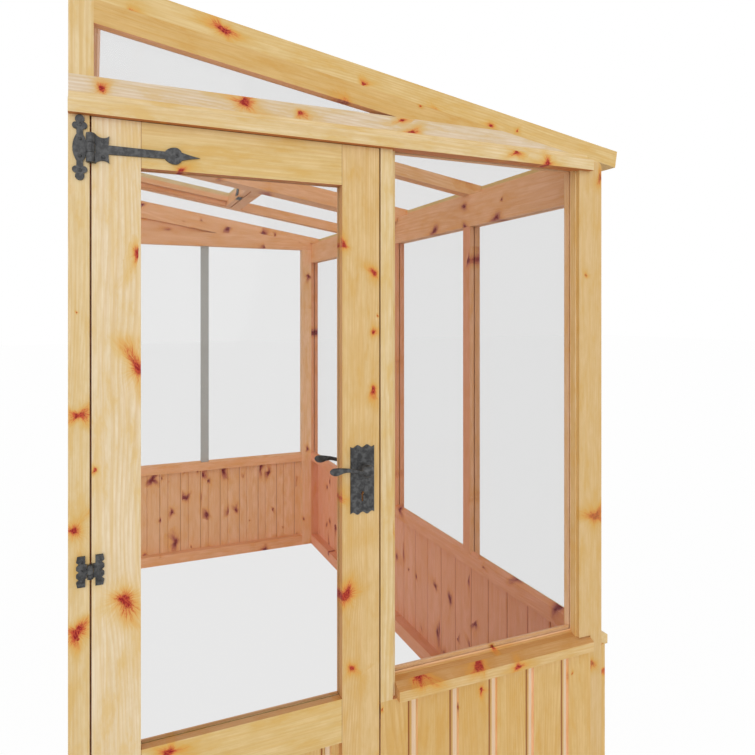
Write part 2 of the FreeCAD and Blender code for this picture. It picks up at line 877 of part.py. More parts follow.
def tee_post_plate():
    """The upright plate of the tee hinge, with a trefoil at each end."""
    x = -plate_offset
    half = plate_half_height
    body_half = half * 0.53
    lobe = half * 0.135
    body = flat_iron(arc_face([
        [(x, -body_half), (x + plate_half_width, 0.0), (x, body_half)],
        [(x, body_half), (x - plate_half_width, 0.0), (x, -body_half)]]), iron_thickness)
    shapes = [body]
    for end in (-1, 1):
        neck = [(x - lobe * 0.7, end * body_half * 0.7), (x + lobe * 0.7, end * body_half * 0.7),
                (x + lobe * 0.7, end * (half - lobe)), (x - lobe * 0.7, end * (half - lobe))]
        face = outline([(px, 0.0, pz) for px, pz in neck])
        shapes.append(flat_iron(face, iron_thickness))
        shapes.append(lobe_of_iron(x, end * (half - lobe), lobe))
        for side in (-1, 1):
            shapes.append(lobe_of_iron(x + side * lobe * 0.8, end * (half - lobe * 2.45), lobe * 0.8))
    plate = clear_of_rings(joined(shapes), knuckle_stack, knuckle_radius)
    middle = three_knuckles(knuckle_stack)[1]
    return joined([plate] + rings_on_pin([middle], knuckle_radius, -1, 0.0))


def tee_strap():
    """The long strap of the tee hinge: a flared heel, a plain bar and a spearhead."""
    heel = knuckle_radius + hinge_relief
    heel_end = 34.0
    bar = strap_bar_height / 2
    head_start = strap_length - strap_head_length
    widest = head_start + strap_head_length * 0.33
    head = strap_head_half_height
    flare = flat_iron(arc_face([
        [(heel, -29.0), (20.0, -22.0), (heel_end, -26.5)],
        [(heel_end, -26.5), (heel_end - 1.5, 0.0), (heel_end, 26.5)],
        [(heel_end, 26.5), (20.0, 22.0), (heel, 29.0)],
        [(heel, 29.0), (heel, -29.0)]]), iron_thickness)
    bar_end = head_start + 6.0
    shank = flat_iron(outline([(x, 0.0, z) for x, z in (
        (heel + 4.0, -bar), (bar_end, -bar * 0.8), (bar_end, bar * 0.8), (heel + 4.0, bar))]), iron_thickness)
    tail = widest + 11.0
    swell = head_start + (widest - head_start) * 0.45
    middle = (tail + strap_length) / 2
    spear = flat_iron(arc_face([
        [(head_start, -bar * 0.6), (swell, -head * 0.86), (widest, -head)],
        [(widest, -head), (widest + 7.0, -head * 0.80), (tail, -head * 0.47)],
        [(tail, -head * 0.47), (middle, -head * 0.20), (strap_length, 0.0)],
        [(strap_length, 0.0), (middle, head * 0.20), (tail, head * 0.47)],
        [(tail, head * 0.47), (widest + 7.0, head * 0.80), (widest, head)],
        [(widest, head), (swell, head * 0.86), (head_start, bar * 0.6)],
        [(head_start, bar * 0.6), (head_start, -bar * 0.6)]]), iron_thickness)
    plate = clear_of_rings(joined([flare, shank, spear]), knuckle_stack, knuckle_radius)
    rings = three_knuckles(knuckle_stack)
    return joined([plate] + rings_on_pin([rings[0], rings[2]], knuckle_radius, 1, pin_clearance))


def butterfly_leaf(side, rings, clearance):
    """One wing of the small middle hinge, with three notches down its outer edge."""
    half = leaf_height / 2
    inner = side * leaf_neck
    outer = side * (leaf_neck + leaf_width)
    notch = leaf_width * 0.3
    pitch = leaf_height / 4
    edge = [(inner, -half)]
    for n in (-1, 0, 1):
        middle = n * pitch
        edge.extend([(outer, middle - pitch * 0.3), (outer - side * notch, middle), (outer, middle + pitch * 0.3)])
    edge.append((inner, half))
    corners = [edge[0], (outer - side * 2.0, -half)] + edge[1:-1] + [(outer - side * 2.0, half), edge[-1]]
    wing = flat_iron(outline([(x, 0.0, z) for x, z in corners]), iron_thickness)
    neck_x = sorted((side * (leaf_knuckle_radius + hinge_relief), inner + side * 1.0))
    neck = slab(neck_x, (hinge_axis_out - iron_thickness, hinge_axis_out), (-leaf_stack / 2, leaf_stack / 2))
    plate = clear_of_rings(joined([wing, neck]), leaf_stack, leaf_knuckle_radius)
    return joined([plate] + rings_on_pin(rings, leaf_knuckle_radius, side, clearance))


def hinge_pin(stack):
    """A plain pin that stands a little past its rings at both ends."""
    return rod(pin_radius, stack + 2 * pin_end, (0, 0, -stack / 2 - pin_end), (0, 0, 1))


def at_door_hinge(shape, height):
    placed = shape.copy()
    placed.translate(Vector(hinge_x, -hinge_axis_out, height))
    return placed


tee_heights = [door_top - hinge_from_door_end, door_bottom + hinge_from_door_end]
middle_height = (door_top + door_bottom) / 2
leaf_rings = three_knuckles(leaf_stack)
post_leaf = butterfly_leaf(-1, [leaf_rings[1]], 0.0)
door_leaf = butterfly_leaf(1, [leaf_rings[0], leaf_rings[2]], pin_clearance)

post_plates = [at_door_hinge(tee_post_plate(), height) for height in tee_heights]
post_plates.append(at_door_hinge(post_leaf, middle_height))
group("post_hinge_plates", post_plates)
door_straps = [at_door_hinge(tee_strap(), height) for height in tee_heights]
door_straps.append(at_door_hinge(door_leaf, middle_height))
group("door_hinge_straps", door_straps)


pins = [at_door_hinge(hinge_pin(knuckle_stack), height) for height in tee_heights]
pins.append(at_door_hinge(hinge_pin(leaf_stack), middle_height))
group("door_hinge_pins", pins)


# Door

door_y = (0.0, door_thickness)
door_z = (door_bottom, door_top)
mid_rail_z = (door_mid_rail_top - door_mid_rail_height, door_mid_rail_top)
top_rail_z = (door_top - door_top_rail_height, door_top)
foot_rail_z = (door_bottom, door_bottom + door_bottom_rail_height)
stile_x = [(door_left, door_left + door_stile_width), (door_right - door_stile_width, door_right)]
rail_x = (stile_x[0][1], stile_x[1][0])
door_glass = (door_glass_from_face, door_glass_from_face + glass_thickness)
light_z = (door_mid_rail_top, top_rail_z[0])
pane_x = grown(rail_x, groove_depth)
pane_z = grown(light_z, groove_depth)
door_groove = slab(pane_x, door_glass, pane_z)
panel_y = (door_panel_from_face, door_panel_from_face + board_thickness)
panel_z = grown((foot_rail_z[1], mid_rail_z[0]), groove_depth)
panel_groove = slab(pane_x, panel_y, panel_z)
keyhole_height = spindle_height - key_drop


def keyhole(y):
    """The shape of a key: a round eye with a narrow slot below it."""
    eye = rod(keyhole_radius, y[1] - y[0], (spindle_x, y[0], keyhole_height), (0, 1, 0))
    half = keyhole_radius * 0.55
    slot = slab((spindle_x - half, spindle_x + half), y, (keyhole_height - keyhole_slot, keyhole_height))
    return eye.fuse(slot)


def spindle_hole(y):
    return rod(spindle_hole_radius, y[1] - y[0], (spindle_x, y[0], spindle_height), (0, 1, 0))


case_middle = door_thickness / 2
case_y = grown((case_middle, case_middle), lock_case_thickness / 2)
case_x = (door_right - lock_case_depth, door_right)
case_top = spindle_height + 38.0
case_z = (case_top - lock_case_height, case_top)


def lock_stile():
    """The outer stile with its mortice for the lock."""
    stile = slab(stile_x[1], door_y, door_z)
    mortice = slab((case_x[0] - slide_clearance, case_x[1]), grown(case_y, slide_clearance),
                   grown(case_z, slide_clearance))
    return cut_all(stile, [door_groove, panel_groove, mortice, keyhole((-1.0, door_thickness + 1.0)),
                           spindle_hole((-1.0, door_thickness + 1.0))])


group("door_hinge_stile", [slab(stile_x[0], door_y, door_z).cut(door_groove).cut(panel_groove)])
group("door_lock_stile", [lock_stile()])
group("door_rails", [
    slab(rail_x, door_y, top_rail_z).cut(door_groove),
    slab(rail_x, door_y, mid_rail_z).cut(door_groove).cut(panel_groove),
    slab(rail_x, door_y, foot_rail_z).cut(panel_groove)])
door_boards = boarding(rail_x[0] + board_cover / 2, grown(pane_x, -glass_clearance),
                       grown(panel_z, -glass_clearance))
for board in door_boards:
    board.translate(Vector(0, door_panel_from_face, 0))
group("door_match_boards", door_boards)
group("door_pane", [slab(grown(pane_x, -glass_clearance), door_glass, grown(pane_z, -glass_clearance))])


# Lock, latch and levers


def bolt_channel(height, y_grow):
    y = grown((case_middle, case_middle), bolt_thickness / 2 + y_grow)
    z = grown((height, height), bolt_height / 2 + y_grow)
    return y, z


bolt_tail = spindle_x + spindle_hole_radius + bolt_throw + 1.0


def lock_case():
    """The mortice case, with channels for both bolts and holes for spindle and key."""
    case = slab(case_x, case_y, case_z)
    for height in (spindle_height, keyhole_height):
        y, z = bolt_channel(height, slide_clearance)
        case = case.cut(slab((bolt_tail - bolt_throw - 0.5, door_right + 1.0), y, z))
    return case.cut(spindle_hole((-1.0, door_thickness + 1.0))).cut(keyhole((-1.0, door_thickness + 1.0)))


def latch_bolt():
    """The sprung bolt, bevelled on the side that strikes the keep as the door closes."""
    y, z = bolt_channel(spindle_height, 0.0)
    tip = door_right + latch_nose
    points = [(bolt_tail, y[0]), (tip, y[0]), (tip, y[0] + 1.5), (tip - 7.0, y[1]), (bolt_tail, y[1])]
    face = outline([(x, yy, z[0]) for x, yy in points])
    return face.extrude(Vector(0, 0, z[1] - z[0]))


def dead_bolt():
    y, z = bolt_channel(keyhole_height, 0.0)
    return slab((bolt_tail, door_right - 0.5), y, z)


def keep():
    """The plate let into the door post, with a hole for each bolt."""
    plate = slab((door_post_left, door_post_left + keep_thickness), keep_y, keep_z)
    return cut_all(plate, bolt_pockets(bolt_throw))


def handle_plate(outer):
    """A lever plate with scalloped ends, pierced for the spindle and the key."""
    plate = scalloped_plate(plate_height, plate_width, handle_plate_thickness, 5, -1)
    plate.rotate(Vector(0, 0, 0), Vector(1, 0, 0), 90)
    middle = spindle_height + plate_above_spindle - plate_height / 2
    back = 0.0 if outer else door_thickness + handle_plate_thickness
    plate.translate(Vector(spindle_x, back, middle))
    through = (-20.0, door_thickness + 20.0)
    return plate.cut(keyhole(through)).cut(spindle_hole(through))


def faceted(rings):
    """A solid through rings of points, with a flat face between each pair of sides."""
    faces = [outline(rings[0]), outline(rings[-1])]
    for near, far in zip(rings[:-1], rings[1:]):
        for n in range(len(near)):
            faces.append(outline([near[n - 1], near[n], far[n], far[n - 1]]))
    return Part.makeSolid(Part.makeShell(faces))


def bevelled_section(centre, half_y, half_z):
    """A section across the lever: a bar whose corners are taken off in two bevels each."""
    corner = 0.75 * min(half_y, half_z)
    reach = corner / math.cos(math.radians(15.0))
    points = []
    for quarter in range(4):
        side_y = 1 if quarter in (0, 3) else -1
        side_z = 1 if quarter in (0, 1) else -1
        for degrees in (15.0, 45.0, 75.0):
            turn = math.radians(degrees + 90.0 * quarter)
            points.append(centre + Vector(0, side_y * (half_y - corner) + reach * math.cos(turn),
                                          side_z * (half_z - corner) + reach * math.sin(turn)))
    return points


def lever_boss(face):
    """The collar against the plate, tapered towards the neck."""
    rings = []
    for radius, out in ((lever_boss_radius, 0.0), (lever_boss_radius * 0.72, lever_boss_height)):
        corners = many_sided(spindle_x, spindle_height, radius, ring_sides)
        rings.append([Vector(x, face - out, z) for x, z in corners])
    return faceted(rings)


def lever_handle():
    """The outer lever: a tapered boss, a round neck and a swept grip with a paddle end."""
    face = -handle_plate_thickness - seat_clearance
    neck_length = lever_stand_off - lever_boss_height
    neck = rod(lever_boss_radius * 0.6, neck_length, (spindle_x, face - lever_boss_height, spindle_height),
               (0, -1, 0))
    out = face - lever_stand_off + 6.0
    stations = [
        (-0.10, 0.0, 0.0, 5.0, 6.5), (0.12, -1.0, -0.5, 5.5, 3.8), (0.36, -3.0, -1.5, 5.0, 3.0),
        (0.58, -3.0, 1.2, 4.5, 4.2), (0.74, -2.0, 5.0, 4.0, 6.6), (0.88, -0.5, 8.0, 3.5, 8.5),
        (0.97, 0.5, 9.0, 2.8, 6.5), (1.0, 1.0, 9.5, 1.2, 3.0)]
    rings = []
    for along, y_shift, z_shift, half_y, half_z in stations:
        centre = Vector(spindle_x - along * lever_reach, out + y_shift, spindle_height + z_shift)
        rings.append(bevelled_section(centre, half_y, half_z))
    lever = joined([lever_boss(face), neck, faceted(rings)])
    half = spindle_square / 2
    socket = slab((spindle_x - half, spindle_x + half), (face - lever_boss_height, 0.0),
                  (spindle_height - half, spindle_height + half))
    return lever.cut(socket)


def spindle():
    half = spindle_square / 2
    reach = handle_plate_thickness + seat_clearance + lever_boss_height - 1.0
    return slab((spindle_x - half, spindle_x + half), (-reach, door_thickness + reach),
                (spindle_height - half, spindle_height + half))


outer_lever = lever_handle()
inner_lever = outer_lever.mirror(Vector(0, case_middle, 0), Vector(0, 1, 0))
group("door_levers", [outer_lever, inner_lever])
group("door_handle_plates", [handle_plate(True), handle_plate(False)])
group("door_lock_case", [lock_case()])
group("door_latch_bolt", [latch_bolt()])
group("door_dead_bolt", [dead_bolt()])
group("door_keep", [keep()])
group("lever_spindle", [spindle()])


# Vent hinges, on the same pattern as the small door hinge


def vent_hinge_parts(y):
    """The fixed leaf, the sash leaf and the pin of one vent hinge."""
    shapes = []
    lift = vent_proud + hinge_axis_out
    for shape in (butterfly_leaf(-1, [leaf_rings[1]], 0.0),
                  butterfly_leaf(1, [leaf_rings[0], leaf_rings[2]], pin_clearance),
                  hinge_pin(leaf_stack)):
        shape.rotate(Vector(0, 0, 0), Vector(1, 0, 0), -90)
        shape.translate(Vector(hinge_u, y, lift))
        shapes.append(on_roof(shape))
    return shapes


vent_hinges = [vent_hinge_parts(y) for y in (vent_y[0] + vent_hinge_inset, vent_y[1] - vent_hinge_inset)]
group("vent_fixed_leaves", [leaf for fixed, sash, pin in vent_hinges for leaf in (fixed, pin)])
group("vent_sash_leaves", [sash for fixed, sash, pin in vent_hinges])


def save(shapes):
    """Moves everything over the origin and writes one file per part."""
    os.makedirs("parts", exist_ok=True)
    box = Part.makeCompound(list(shapes.values())).optimalBoundingBox(False, False)
    shift = Vector(-(box.XMin + box.XMax) / 2, -(box.YMin + box.YMax) / 2, 0)
    for name, shape in shapes.items():
        moved = shape.copy()
        moved.translate(shift)
        moved.exportStep("parts/" + name + ".step")
    print("parts", len(shapes), "shift", round(shift.x, 3), round(shift.y, 3))
    print("box", round(box.XLength, 1), round(box.YLength, 1), round(box.ZLength, 1))


save(parts)
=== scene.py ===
# %% [markdown]
# A lean-to greenhouse in oiled pine. One long side stays open, because it stands against a
# house wall. The timber, glass and ironwork come from a measured model; this lesson gives
# them their finishes, adds the small things that a joiner would add, and lights the result.

# %% Load the measured model
import math

import bmesh
import bpy
from mathutils import Euler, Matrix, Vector


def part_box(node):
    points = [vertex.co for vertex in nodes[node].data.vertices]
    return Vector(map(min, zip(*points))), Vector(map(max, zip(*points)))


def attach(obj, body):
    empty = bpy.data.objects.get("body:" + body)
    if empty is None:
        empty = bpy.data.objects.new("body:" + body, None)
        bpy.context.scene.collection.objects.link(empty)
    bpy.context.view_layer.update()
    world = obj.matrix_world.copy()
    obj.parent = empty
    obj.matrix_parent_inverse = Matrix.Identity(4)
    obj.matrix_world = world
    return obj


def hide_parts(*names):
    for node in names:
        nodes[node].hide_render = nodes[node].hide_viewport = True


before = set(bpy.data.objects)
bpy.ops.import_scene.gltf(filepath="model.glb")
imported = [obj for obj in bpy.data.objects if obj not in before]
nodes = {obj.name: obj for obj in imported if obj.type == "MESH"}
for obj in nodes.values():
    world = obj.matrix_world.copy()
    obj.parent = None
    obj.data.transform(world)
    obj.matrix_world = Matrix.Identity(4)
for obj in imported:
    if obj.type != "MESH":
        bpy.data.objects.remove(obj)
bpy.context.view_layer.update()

# %% [markdown]
# Everything on the building is placed from its front corner at the foot of the house wall,
# as a joiner measures it. The model's own origin lies under the middle of the building, so
# one vector leads from one to the other.

# %% Where the building stands
ACROSS, INWARDS, UP = 0, 1, 2
CORNER = Vector((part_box("front_posts")[0].x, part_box("front_cover_boards")[0].y, 0.0))
ROOF_PITCH = math.radians(9.09)
print("front corner", [round(v, 4) for v in CORNER])


def from_corner(x, y, z):
    """A point measured from the front corner, in metres."""
    return CORNER + Vector((x, y, z))


# %% [markdown]
# The camera stands a little above shoulder height in front of the wall side and looks level
# into the building, turned to the right. A level camera keeps every post upright; the lens
# is shifted down a little instead of tilting, as for a photograph of architecture.

# %% The camera
CAMERA_PLACE = from_corner(0.0439, -1.370, 1.408)
CAMERA_TURN = math.radians(-23.63)
FILM_WIDTH = 36.0
LENS = 30.95
LENS_SHIFT = (0.0006, -0.0854)

scene = bpy.context.scene
camera_data = bpy.data.cameras.new("camera")
camera = bpy.data.objects.new("camera", camera_data)
scene.collection.objects.link(camera)
scene.camera = camera
camera.location = CAMERA_PLACE
camera.rotation_euler = (math.radians(90.0), 0.0, CAMERA_TURN)
camera_data.sensor_width = FILM_WIDTH
camera_data.lens = LENS
camera_data.shift_x, camera_data.shift_y = LENS_SHIFT
camera_data.clip_end = 100.0
print("camera at", [round(v, 3) for v in camera.location])

# %% [markdown]
# Building a shader by hand takes many small nodes. They could be added one by one in the
# editor, but then nobody could read them as a recipe. This helper adds each in one line, and
# takes a plain number, a tuple or another node's output for every input.

# %% A short way to write node trees


class Recipe:
    """Adds nodes to one tree and links them."""

    def __init__(self, tree):
        self.tree = tree

    def add(self, kind, **settings):
        """A new node with its settings."""
        node = self.tree.nodes.new(kind)
        for name, value in settings.items():
            setattr(node, name, value)
        return node

    def feed(self, socket, value):
        """Links an output to an input, or sets the input to a plain value."""
        if isinstance(value, bpy.types.NodeSocket):
            self.tree.links.new(value, socket)
        elif isinstance(value, (tuple, Vector)) and socket.type == "RGBA":
            socket.default_value = (*value[:3], 1.0)
        else:
            socket.default_value = value

    def fill(self, node, inputs):
        """Feeds the inputs that are named, and gives the node's outputs."""
        for name, value in inputs.items():
            self.feed(node.inputs[name], value)
        return node.outputs

    def built(self, kind, result, inputs, **settings):
        """One output of a new node whose named inputs are fed."""
        return self.fill(self.add(kind, **settings), inputs)[result]

    def object_place(self):
        """The place of the spot that is being painted."""
        return self.add("ShaderNodeTexCoord").outputs["Object"]

    def math(self, operation, *values):
        return self.built("ShaderNodeMath", "Value", dict(enumerate(values)), operation=operation)

    def plus(self, a, b):
        return self.math("ADD", a, b)

    def minus(self, a, b):
        return self.math("SUBTRACT", a, b)

    def times(self, a, b):
        return self.math("MULTIPLY", a, b)

    def away(self, value, place):
        """How far a value lies from a place, on either side."""
        return self.math("ABSOLUTE", self.minus(value, place))

    def vector(self, operation, *values):
        result = "Value" if operation in ("LENGTH", "DOT_PRODUCT") else "Vector"
        return self.built("ShaderNodeVectorMath", result, dict(enumerate(values)),
                          operation=operation)

    def scaled(self, vector, scale):
        return self.built("ShaderNodeVectorMath", "Vector", {"Vector": vector, "Scale": scale},
                          operation="SCALE")

    def parts(self, vector):
        """The three numbers of a vector."""
        return self.fill(self.add("ShaderNodeSeparateXYZ"), {"Vector": vector})

    def point(self, x, y, z):
        """Three numbers joined to one vector."""
        return self.built("ShaderNodeCombineXYZ", "Vector", {"X": x, "Y": y, "Z": z})

    def ease(self, value, low, high, out_low=0.0, out_high=1.0):
        """A value eased from one range to another."""
        return self.built("ShaderNodeMapRange", "Result", {
            "Value": value, "From Min": low, "From Max": high, "To Min": out_low,
            "To Max": out_high}, interpolation_type="SMOOTHSTEP")

    def fade(self, value, start, end, strength=1.0):
        """The strength up to the start, and nothing past the end."""
        return self.ease(value, start, end, strength, 0.0)

    def band(self, value, rise, fall, low=0.0, high=1.0):
        """Rises between one pair of places and falls to nothing between another."""
        return self.times(self.ease(value, *rise, low, high), self.fade(value, *fall))

    def mix(self, amount, a, b):
        """Two colours mixed by an amount."""
        return self.built("ShaderNodeMix", "Result", {"Factor": amount, "A": a, "B": b},
                          data_type="RGBA")

    def noise(self, place, stretch, detail, roughness, result="Fac"):
        """Cloudy noise, stretched by scaling the place first."""
        return self.built("ShaderNodeTexNoise", result, {
            "Vector": self.vector("MULTIPLY", place, stretch), "Scale": 1.0, "Detail": detail,
            "Roughness": roughness})


def new_finish(name):
    """A material, its recipe and its main shader."""
    material = bpy.data.materials.new(name)
    material.use_nodes = True
    return material, Recipe(material.node_tree), material.node_tree.nodes["Principled BSDF"]


def finish(names, material):
    """Gives a finish to measured parts."""
    for name in names:
        nodes[name].data.materials.clear()
        nodes[name].data.materials.append(material)


print("recipe words", [word for word in vars(Recipe) if not word.startswith("_")])

# %% [markdown]
# A pale floor and plain white surroundings. What the camera sees of them is made white by the
# light path, so that no lamp has to be turned up for it, and the timber keeps its colour.
# The lamps are wide suns, as soft as a cloudy sky, and the strongest stands behind the
# camera: a sun lights the far end of the building as well as the near one.

# %% Floor and world
WHITE = (1.0, 1.0, 1.0)
SKY = (1.0, 0.99, 0.975)
SKY_STRENGTH = 0.52
FLOOR_SIZE = 60.0
FLOOR_GREY = (0.84, 0.84, 0.84)
FLOOR_WHITE_SHARE = 0.97
scene.view_settings.view_transform = "Standard"


def white_where_seen(recipe, lit, share, white_kind):
    """Mixes plain white into a shader where the camera, a gloss or a glass looks at it."""
    path = recipe.add("ShaderNodeLightPath").outputs
    seen = recipe.math("MAXIMUM", path["Is Camera Ray"], path["Is Glossy Ray"])
    seen = recipe.math("MAXIMUM", seen, path["Is Transmission Ray"])
    white = recipe.built(white_kind, 0, {"Color": WHITE, "Strength": 1.0})
    return recipe.built("ShaderNodeMixShader", "Shader", {
        "Fac": recipe.times(seen, share), 1: lit, 2: white})


world = bpy.data.worlds.new("studio")
scene.world = world
world.use_nodes = True
sky = Recipe(world.node_tree)
sky_light = world.node_tree.nodes["Background"]
lit_sky = sky.fill(sky_light, {"Color": SKY, "Strength": SKY_STRENGTH})[0]
sky.fill(world.node_tree.nodes["World Output"], {
    "Surface": white_where_seen(sky, lit_sky, 1.0, "ShaderNodeBackground")})

bpy.ops.mesh.primitive_plane_add(size=FLOOR_SIZE, location=(0.0, 0.0, 0.0))
floor = bpy.context.object
floor.name = "studio_floor"
floor_finish, paint, floor_shader = new_finish("floor_finish")
lit_floor = paint.fill(floor_shader, {"Base Color": FLOOR_GREY, "Roughness": 0.9})[0]
paint.fill(floor_finish.node_tree.nodes["Material Output"], {
    "Surface": white_where_seen(paint, lit_floor, FLOOR_WHITE_SHARE, "ShaderNodeEmission")})
floor.data.materials.append(floor_finish)
print("floor", FLOOR_SIZE, "m wide, sky", SKY_STRENGTH)

# %% The lamps
SUN_WIDTH = math.radians(55.0)
LAMP_DISTANCE = 4.0
SUNS = {
    "front_sun": ((-0.25, -1.0, 0.14), 1.38),
    "wall_side_sun": ((-1.0, -0.35, 0.40), 0.70),
    "garden_side_sun": ((1.0, -0.2, 0.45), 0.55),
    "back_sun": ((0.2, 1.0, 0.5), 0.45),
}
for name, (comes_from, strength) in SUNS.items():
    data = bpy.data.lights.new(name, "SUN")
    data.angle = SUN_WIDTH
    data.energy = strength
    lamp = bpy.data.objects.new(name, data)
    scene.collection.objects.link(lamp)
    lamp.location = Vector(comes_from) * LAMP_DISTANCE
    lamp.rotation_euler = (-Vector(comes_from)).to_track_quat("-Z", "Y").to_euler()
print("lamps", list(SUNS))

# %% [markdown]
# Pine has three things to show at this distance: soft growth lines that run with the timber
# in long arches, slow clouds of pale and ochre, and red knots. Turning each timber's length to
# one axis lets every piece share one recipe, whether it stands, lies or slopes.

# %% Directions of the timber
ALONG = {
    "upright": (0.0, math.radians(90.0), 0.0),
    "across": (0.0, 0.0, 0.0),
    "lengthways": (0.0, 0.0, math.radians(-90.0)),
    "down_slope": (0.0, -ROOF_PITCH, 0.0),
}
# A knot runs through a timber along one turned axis, so that axis doesn't count for it.
FLAT = {"y": Vector((1.0, 0.0, 1.0)), "z": Vector((1.0, 1.0, 0.0))}


def turned(direction, point):
    """A point of the building in the coordinates of a timber with that direction."""
    return Euler(ALONG[direction]).to_matrix() @ point


print("directions", list(ALONG))

# %% [markdown]
# The oil has weathered to honey outside. The faces that look into the building are lit through
# each other's colour, so they get a rosy tone instead, which is painted bounce light and shade.
# Painting each face by hand would take long and break at the next change, so one mask serves
# every timber. It marks a face whose normal points the same way as the line from the building's
# middle to it. It also marks everything above the roof glass, and the outer skin of the two far
# walls.

# %% Faces that look outwards
MIDDLE = Vector((0.0, 0.0, 1.0))
HALF_SIZE = Vector((0.66, 1.24, 1.03))
OUTWARDS = (0.35, 0.75)
GLASS_TOP = Vector((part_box("roof_panes")[0].x, 0.0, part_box("roof_panes")[1].z))
ROOF_NORMAL = Vector((math.sin(ROOF_PITCH), 0.0, math.cos(ROOF_PITCH)))
SKIN = 0.008
GARDEN_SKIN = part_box("side_match_boards")[1].x - SKIN
FAR_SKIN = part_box("far_match_boards")[1].y - SKIN
SKIN_EDGE = 0.001


def looks_out(recipe):
    """1 on outward faces, 0 on inward faces and on the reveals of openings."""
    found = recipe.add("ShaderNodeTexCoord").outputs
    reach = recipe.vector("DIVIDE", recipe.vector("SUBTRACT", found["Object"], MIDDLE), HALF_SIZE)
    out = recipe.ease(recipe.vector("DOT_PRODUCT", found["Normal"], reach), *OUTWARDS)
    over_glass = recipe.vector("DOT_PRODUCT", recipe.vector(
        "SUBTRACT", found["Object"], GLASS_TOP), ROOF_NORMAL)
    where = recipe.parts(found["Object"])
    beyond = recipe.math("MAXIMUM", recipe.minus(where[ACROSS], GARDEN_SKIN),
                         recipe.minus(where[INWARDS], FAR_SKIN))
    beyond = recipe.math("MAXIMUM", beyond, over_glass)
    return recipe.math("MAXIMUM", out, recipe.ease(beyond, 0.0, SKIN_EDGE))


print("outer skins at", round(GARDEN_SKIN, 4), round(FAR_SKIN, 4))

# %% [markdown]
# A knot is a branch that the trunk grew round. The nearest knot is found twice over: a few
# are set where they matter, and the rest are scattered by a cell pattern, one chance to a
# cell. Round each knot the growth lines are pushed aside as water is by a stone, so besides
# the way to its centre, counted in the knot's own radii, a knot also hands on that bend.

# %% Where the knots are
KNOT_CELL = Vector((0.21, 0.085, 0.085))
CELL_SCATTER = 0.85
KNOT_STRETCH = 1.35
KNOT_SPREAD = 1.25
SMALLEST_KNOT = 0.00005


def bend(recipe, place, offset, relative):
    """Pulls the place where the growth lines are read towards a knot's centre."""
    pull = recipe.math("DIVIDE", 1.0, recipe.plus(1.0, recipe.times(relative, relative)))
    return recipe.vector("SUBTRACT", place, recipe.scaled(offset, pull))


def one_knot():
    """A node group that adds one set knot to the nearest one so far and to the bent place."""
    group = bpy.data.node_groups.new("one_knot", "ShaderNodeTree")
    for label in ("Place", "Bent", "Nearest", "Centre", "Radii", "Flat"):
        group.interface.new_socket(label, in_out="INPUT", socket_type="NodeSocketVector")
    for label in ("Bent", "Nearest"):
        group.interface.new_socket(label, in_out="OUTPUT", socket_type="NodeSocketVector")
    recipe = Recipe(group)
    given = recipe.add("NodeGroupInput").outputs
    result = recipe.add("NodeGroupOutput").inputs
    offset = recipe.vector("SUBTRACT", given["Place"], given["Centre"])
    offset = recipe.vector("MULTIPLY", offset, given["Flat"])
    relative = recipe.vector("DIVIDE", offset, given["Radii"])
    reach = recipe.vector("LENGTH", relative)
    recipe.feed(result["Bent"], bend(recipe, given["Bent"], offset, reach))
    closer = recipe.math("LESS_THAN", reach, recipe.vector("LENGTH", given["Nearest"]))
    recipe.feed(result["Nearest"], recipe.built("ShaderNodeMix", "Result", {
        "Factor": closer, "A": given["Nearest"], "B": relative}, data_type="VECTOR"))
    return group


def scattered_knots(recipe, place, flat, chance, largest):
    """Way from the nearest scattered knot, in metres and in its own radii."""
    cells = recipe.vector("DIVIDE", recipe.vector("MULTIPLY", place, flat), KNOT_CELL)
    found = recipe.fill(recipe.add("ShaderNodeTexVoronoi", feature="F1"), {
        "Scale": 1.0, "Randomness": CELL_SCATTER, "Vector": cells})
    offset = recipe.vector("SUBTRACT", cells, found["Position"])
    offset = recipe.vector("MULTIPLY", recipe.vector("MULTIPLY", offset, KNOT_CELL), flat)
    dice = recipe.parts(found["Color"])[0]
    radius = recipe.ease(dice, recipe.minus(1.0, chance), 1.0, SMALLEST_KNOT, largest)
    shape = recipe.vector("MULTIPLY", offset, Vector((1.0 / KNOT_STRETCH, 1.0, 1.0)))
    return offset, recipe.scaled(shape, recipe.math("DIVIDE", 1.0, radius))


knot_nodes = one_knot()
print("knot group", len(knot_nodes.nodes), "nodes")

# %% [markdown]
# The growth lines are the contour lines of stretched noise laid over an even slope, which
# gives the long arches of a plain-sawn board. Plain stripes would be simpler, but they never
# close to an arch. Fibres, streaks and clouds are noise as well, each with its own stretch.
# Boards that lie side by side are cut from different planks, so each reads its grain at a
# place of its own.

# %% Grain
BOARD_COVER = 0.112
BOARD_JUMP = 7.0
SEED_STEPS = (1.37, 0.71, 0.53)
LINES_PER_METRE = 135.0
HILL_HEIGHT = 24.0
LINE_RISE = (0.15, 0.80)
LINE_FALL = (0.86, 1.0)
# For each pattern: changes per metre along and across the timber, detail and roughness.
PATTERNS = {
    "wobble": (55.0, 55.0, 2.0, 0.6),
    "hills": (0.75, 6.5, 1.5, 0.45),
    "fibre": (9.0, 420.0, 3.0, 0.6),
    "cloud": (11.0, 36.0, 4.0, 0.65),
    "fade": (0.9, 13.0, 1.0, 0.5),
    "streak": (3.0, 120.0, 3.0, 0.6),
    "speck": (240.0, 480.0, 2.0, 0.7),
    "plain": (1.0, 1.0, 1.0, 0.5),
}


def pattern(recipe, name, place, result="Fac"):
    """One of the patterns, read at a place."""
    along, across, detail, roughness = PATTERNS[name]
    return recipe.noise(place, Vector((along, across, across)), detail, roughness, result)


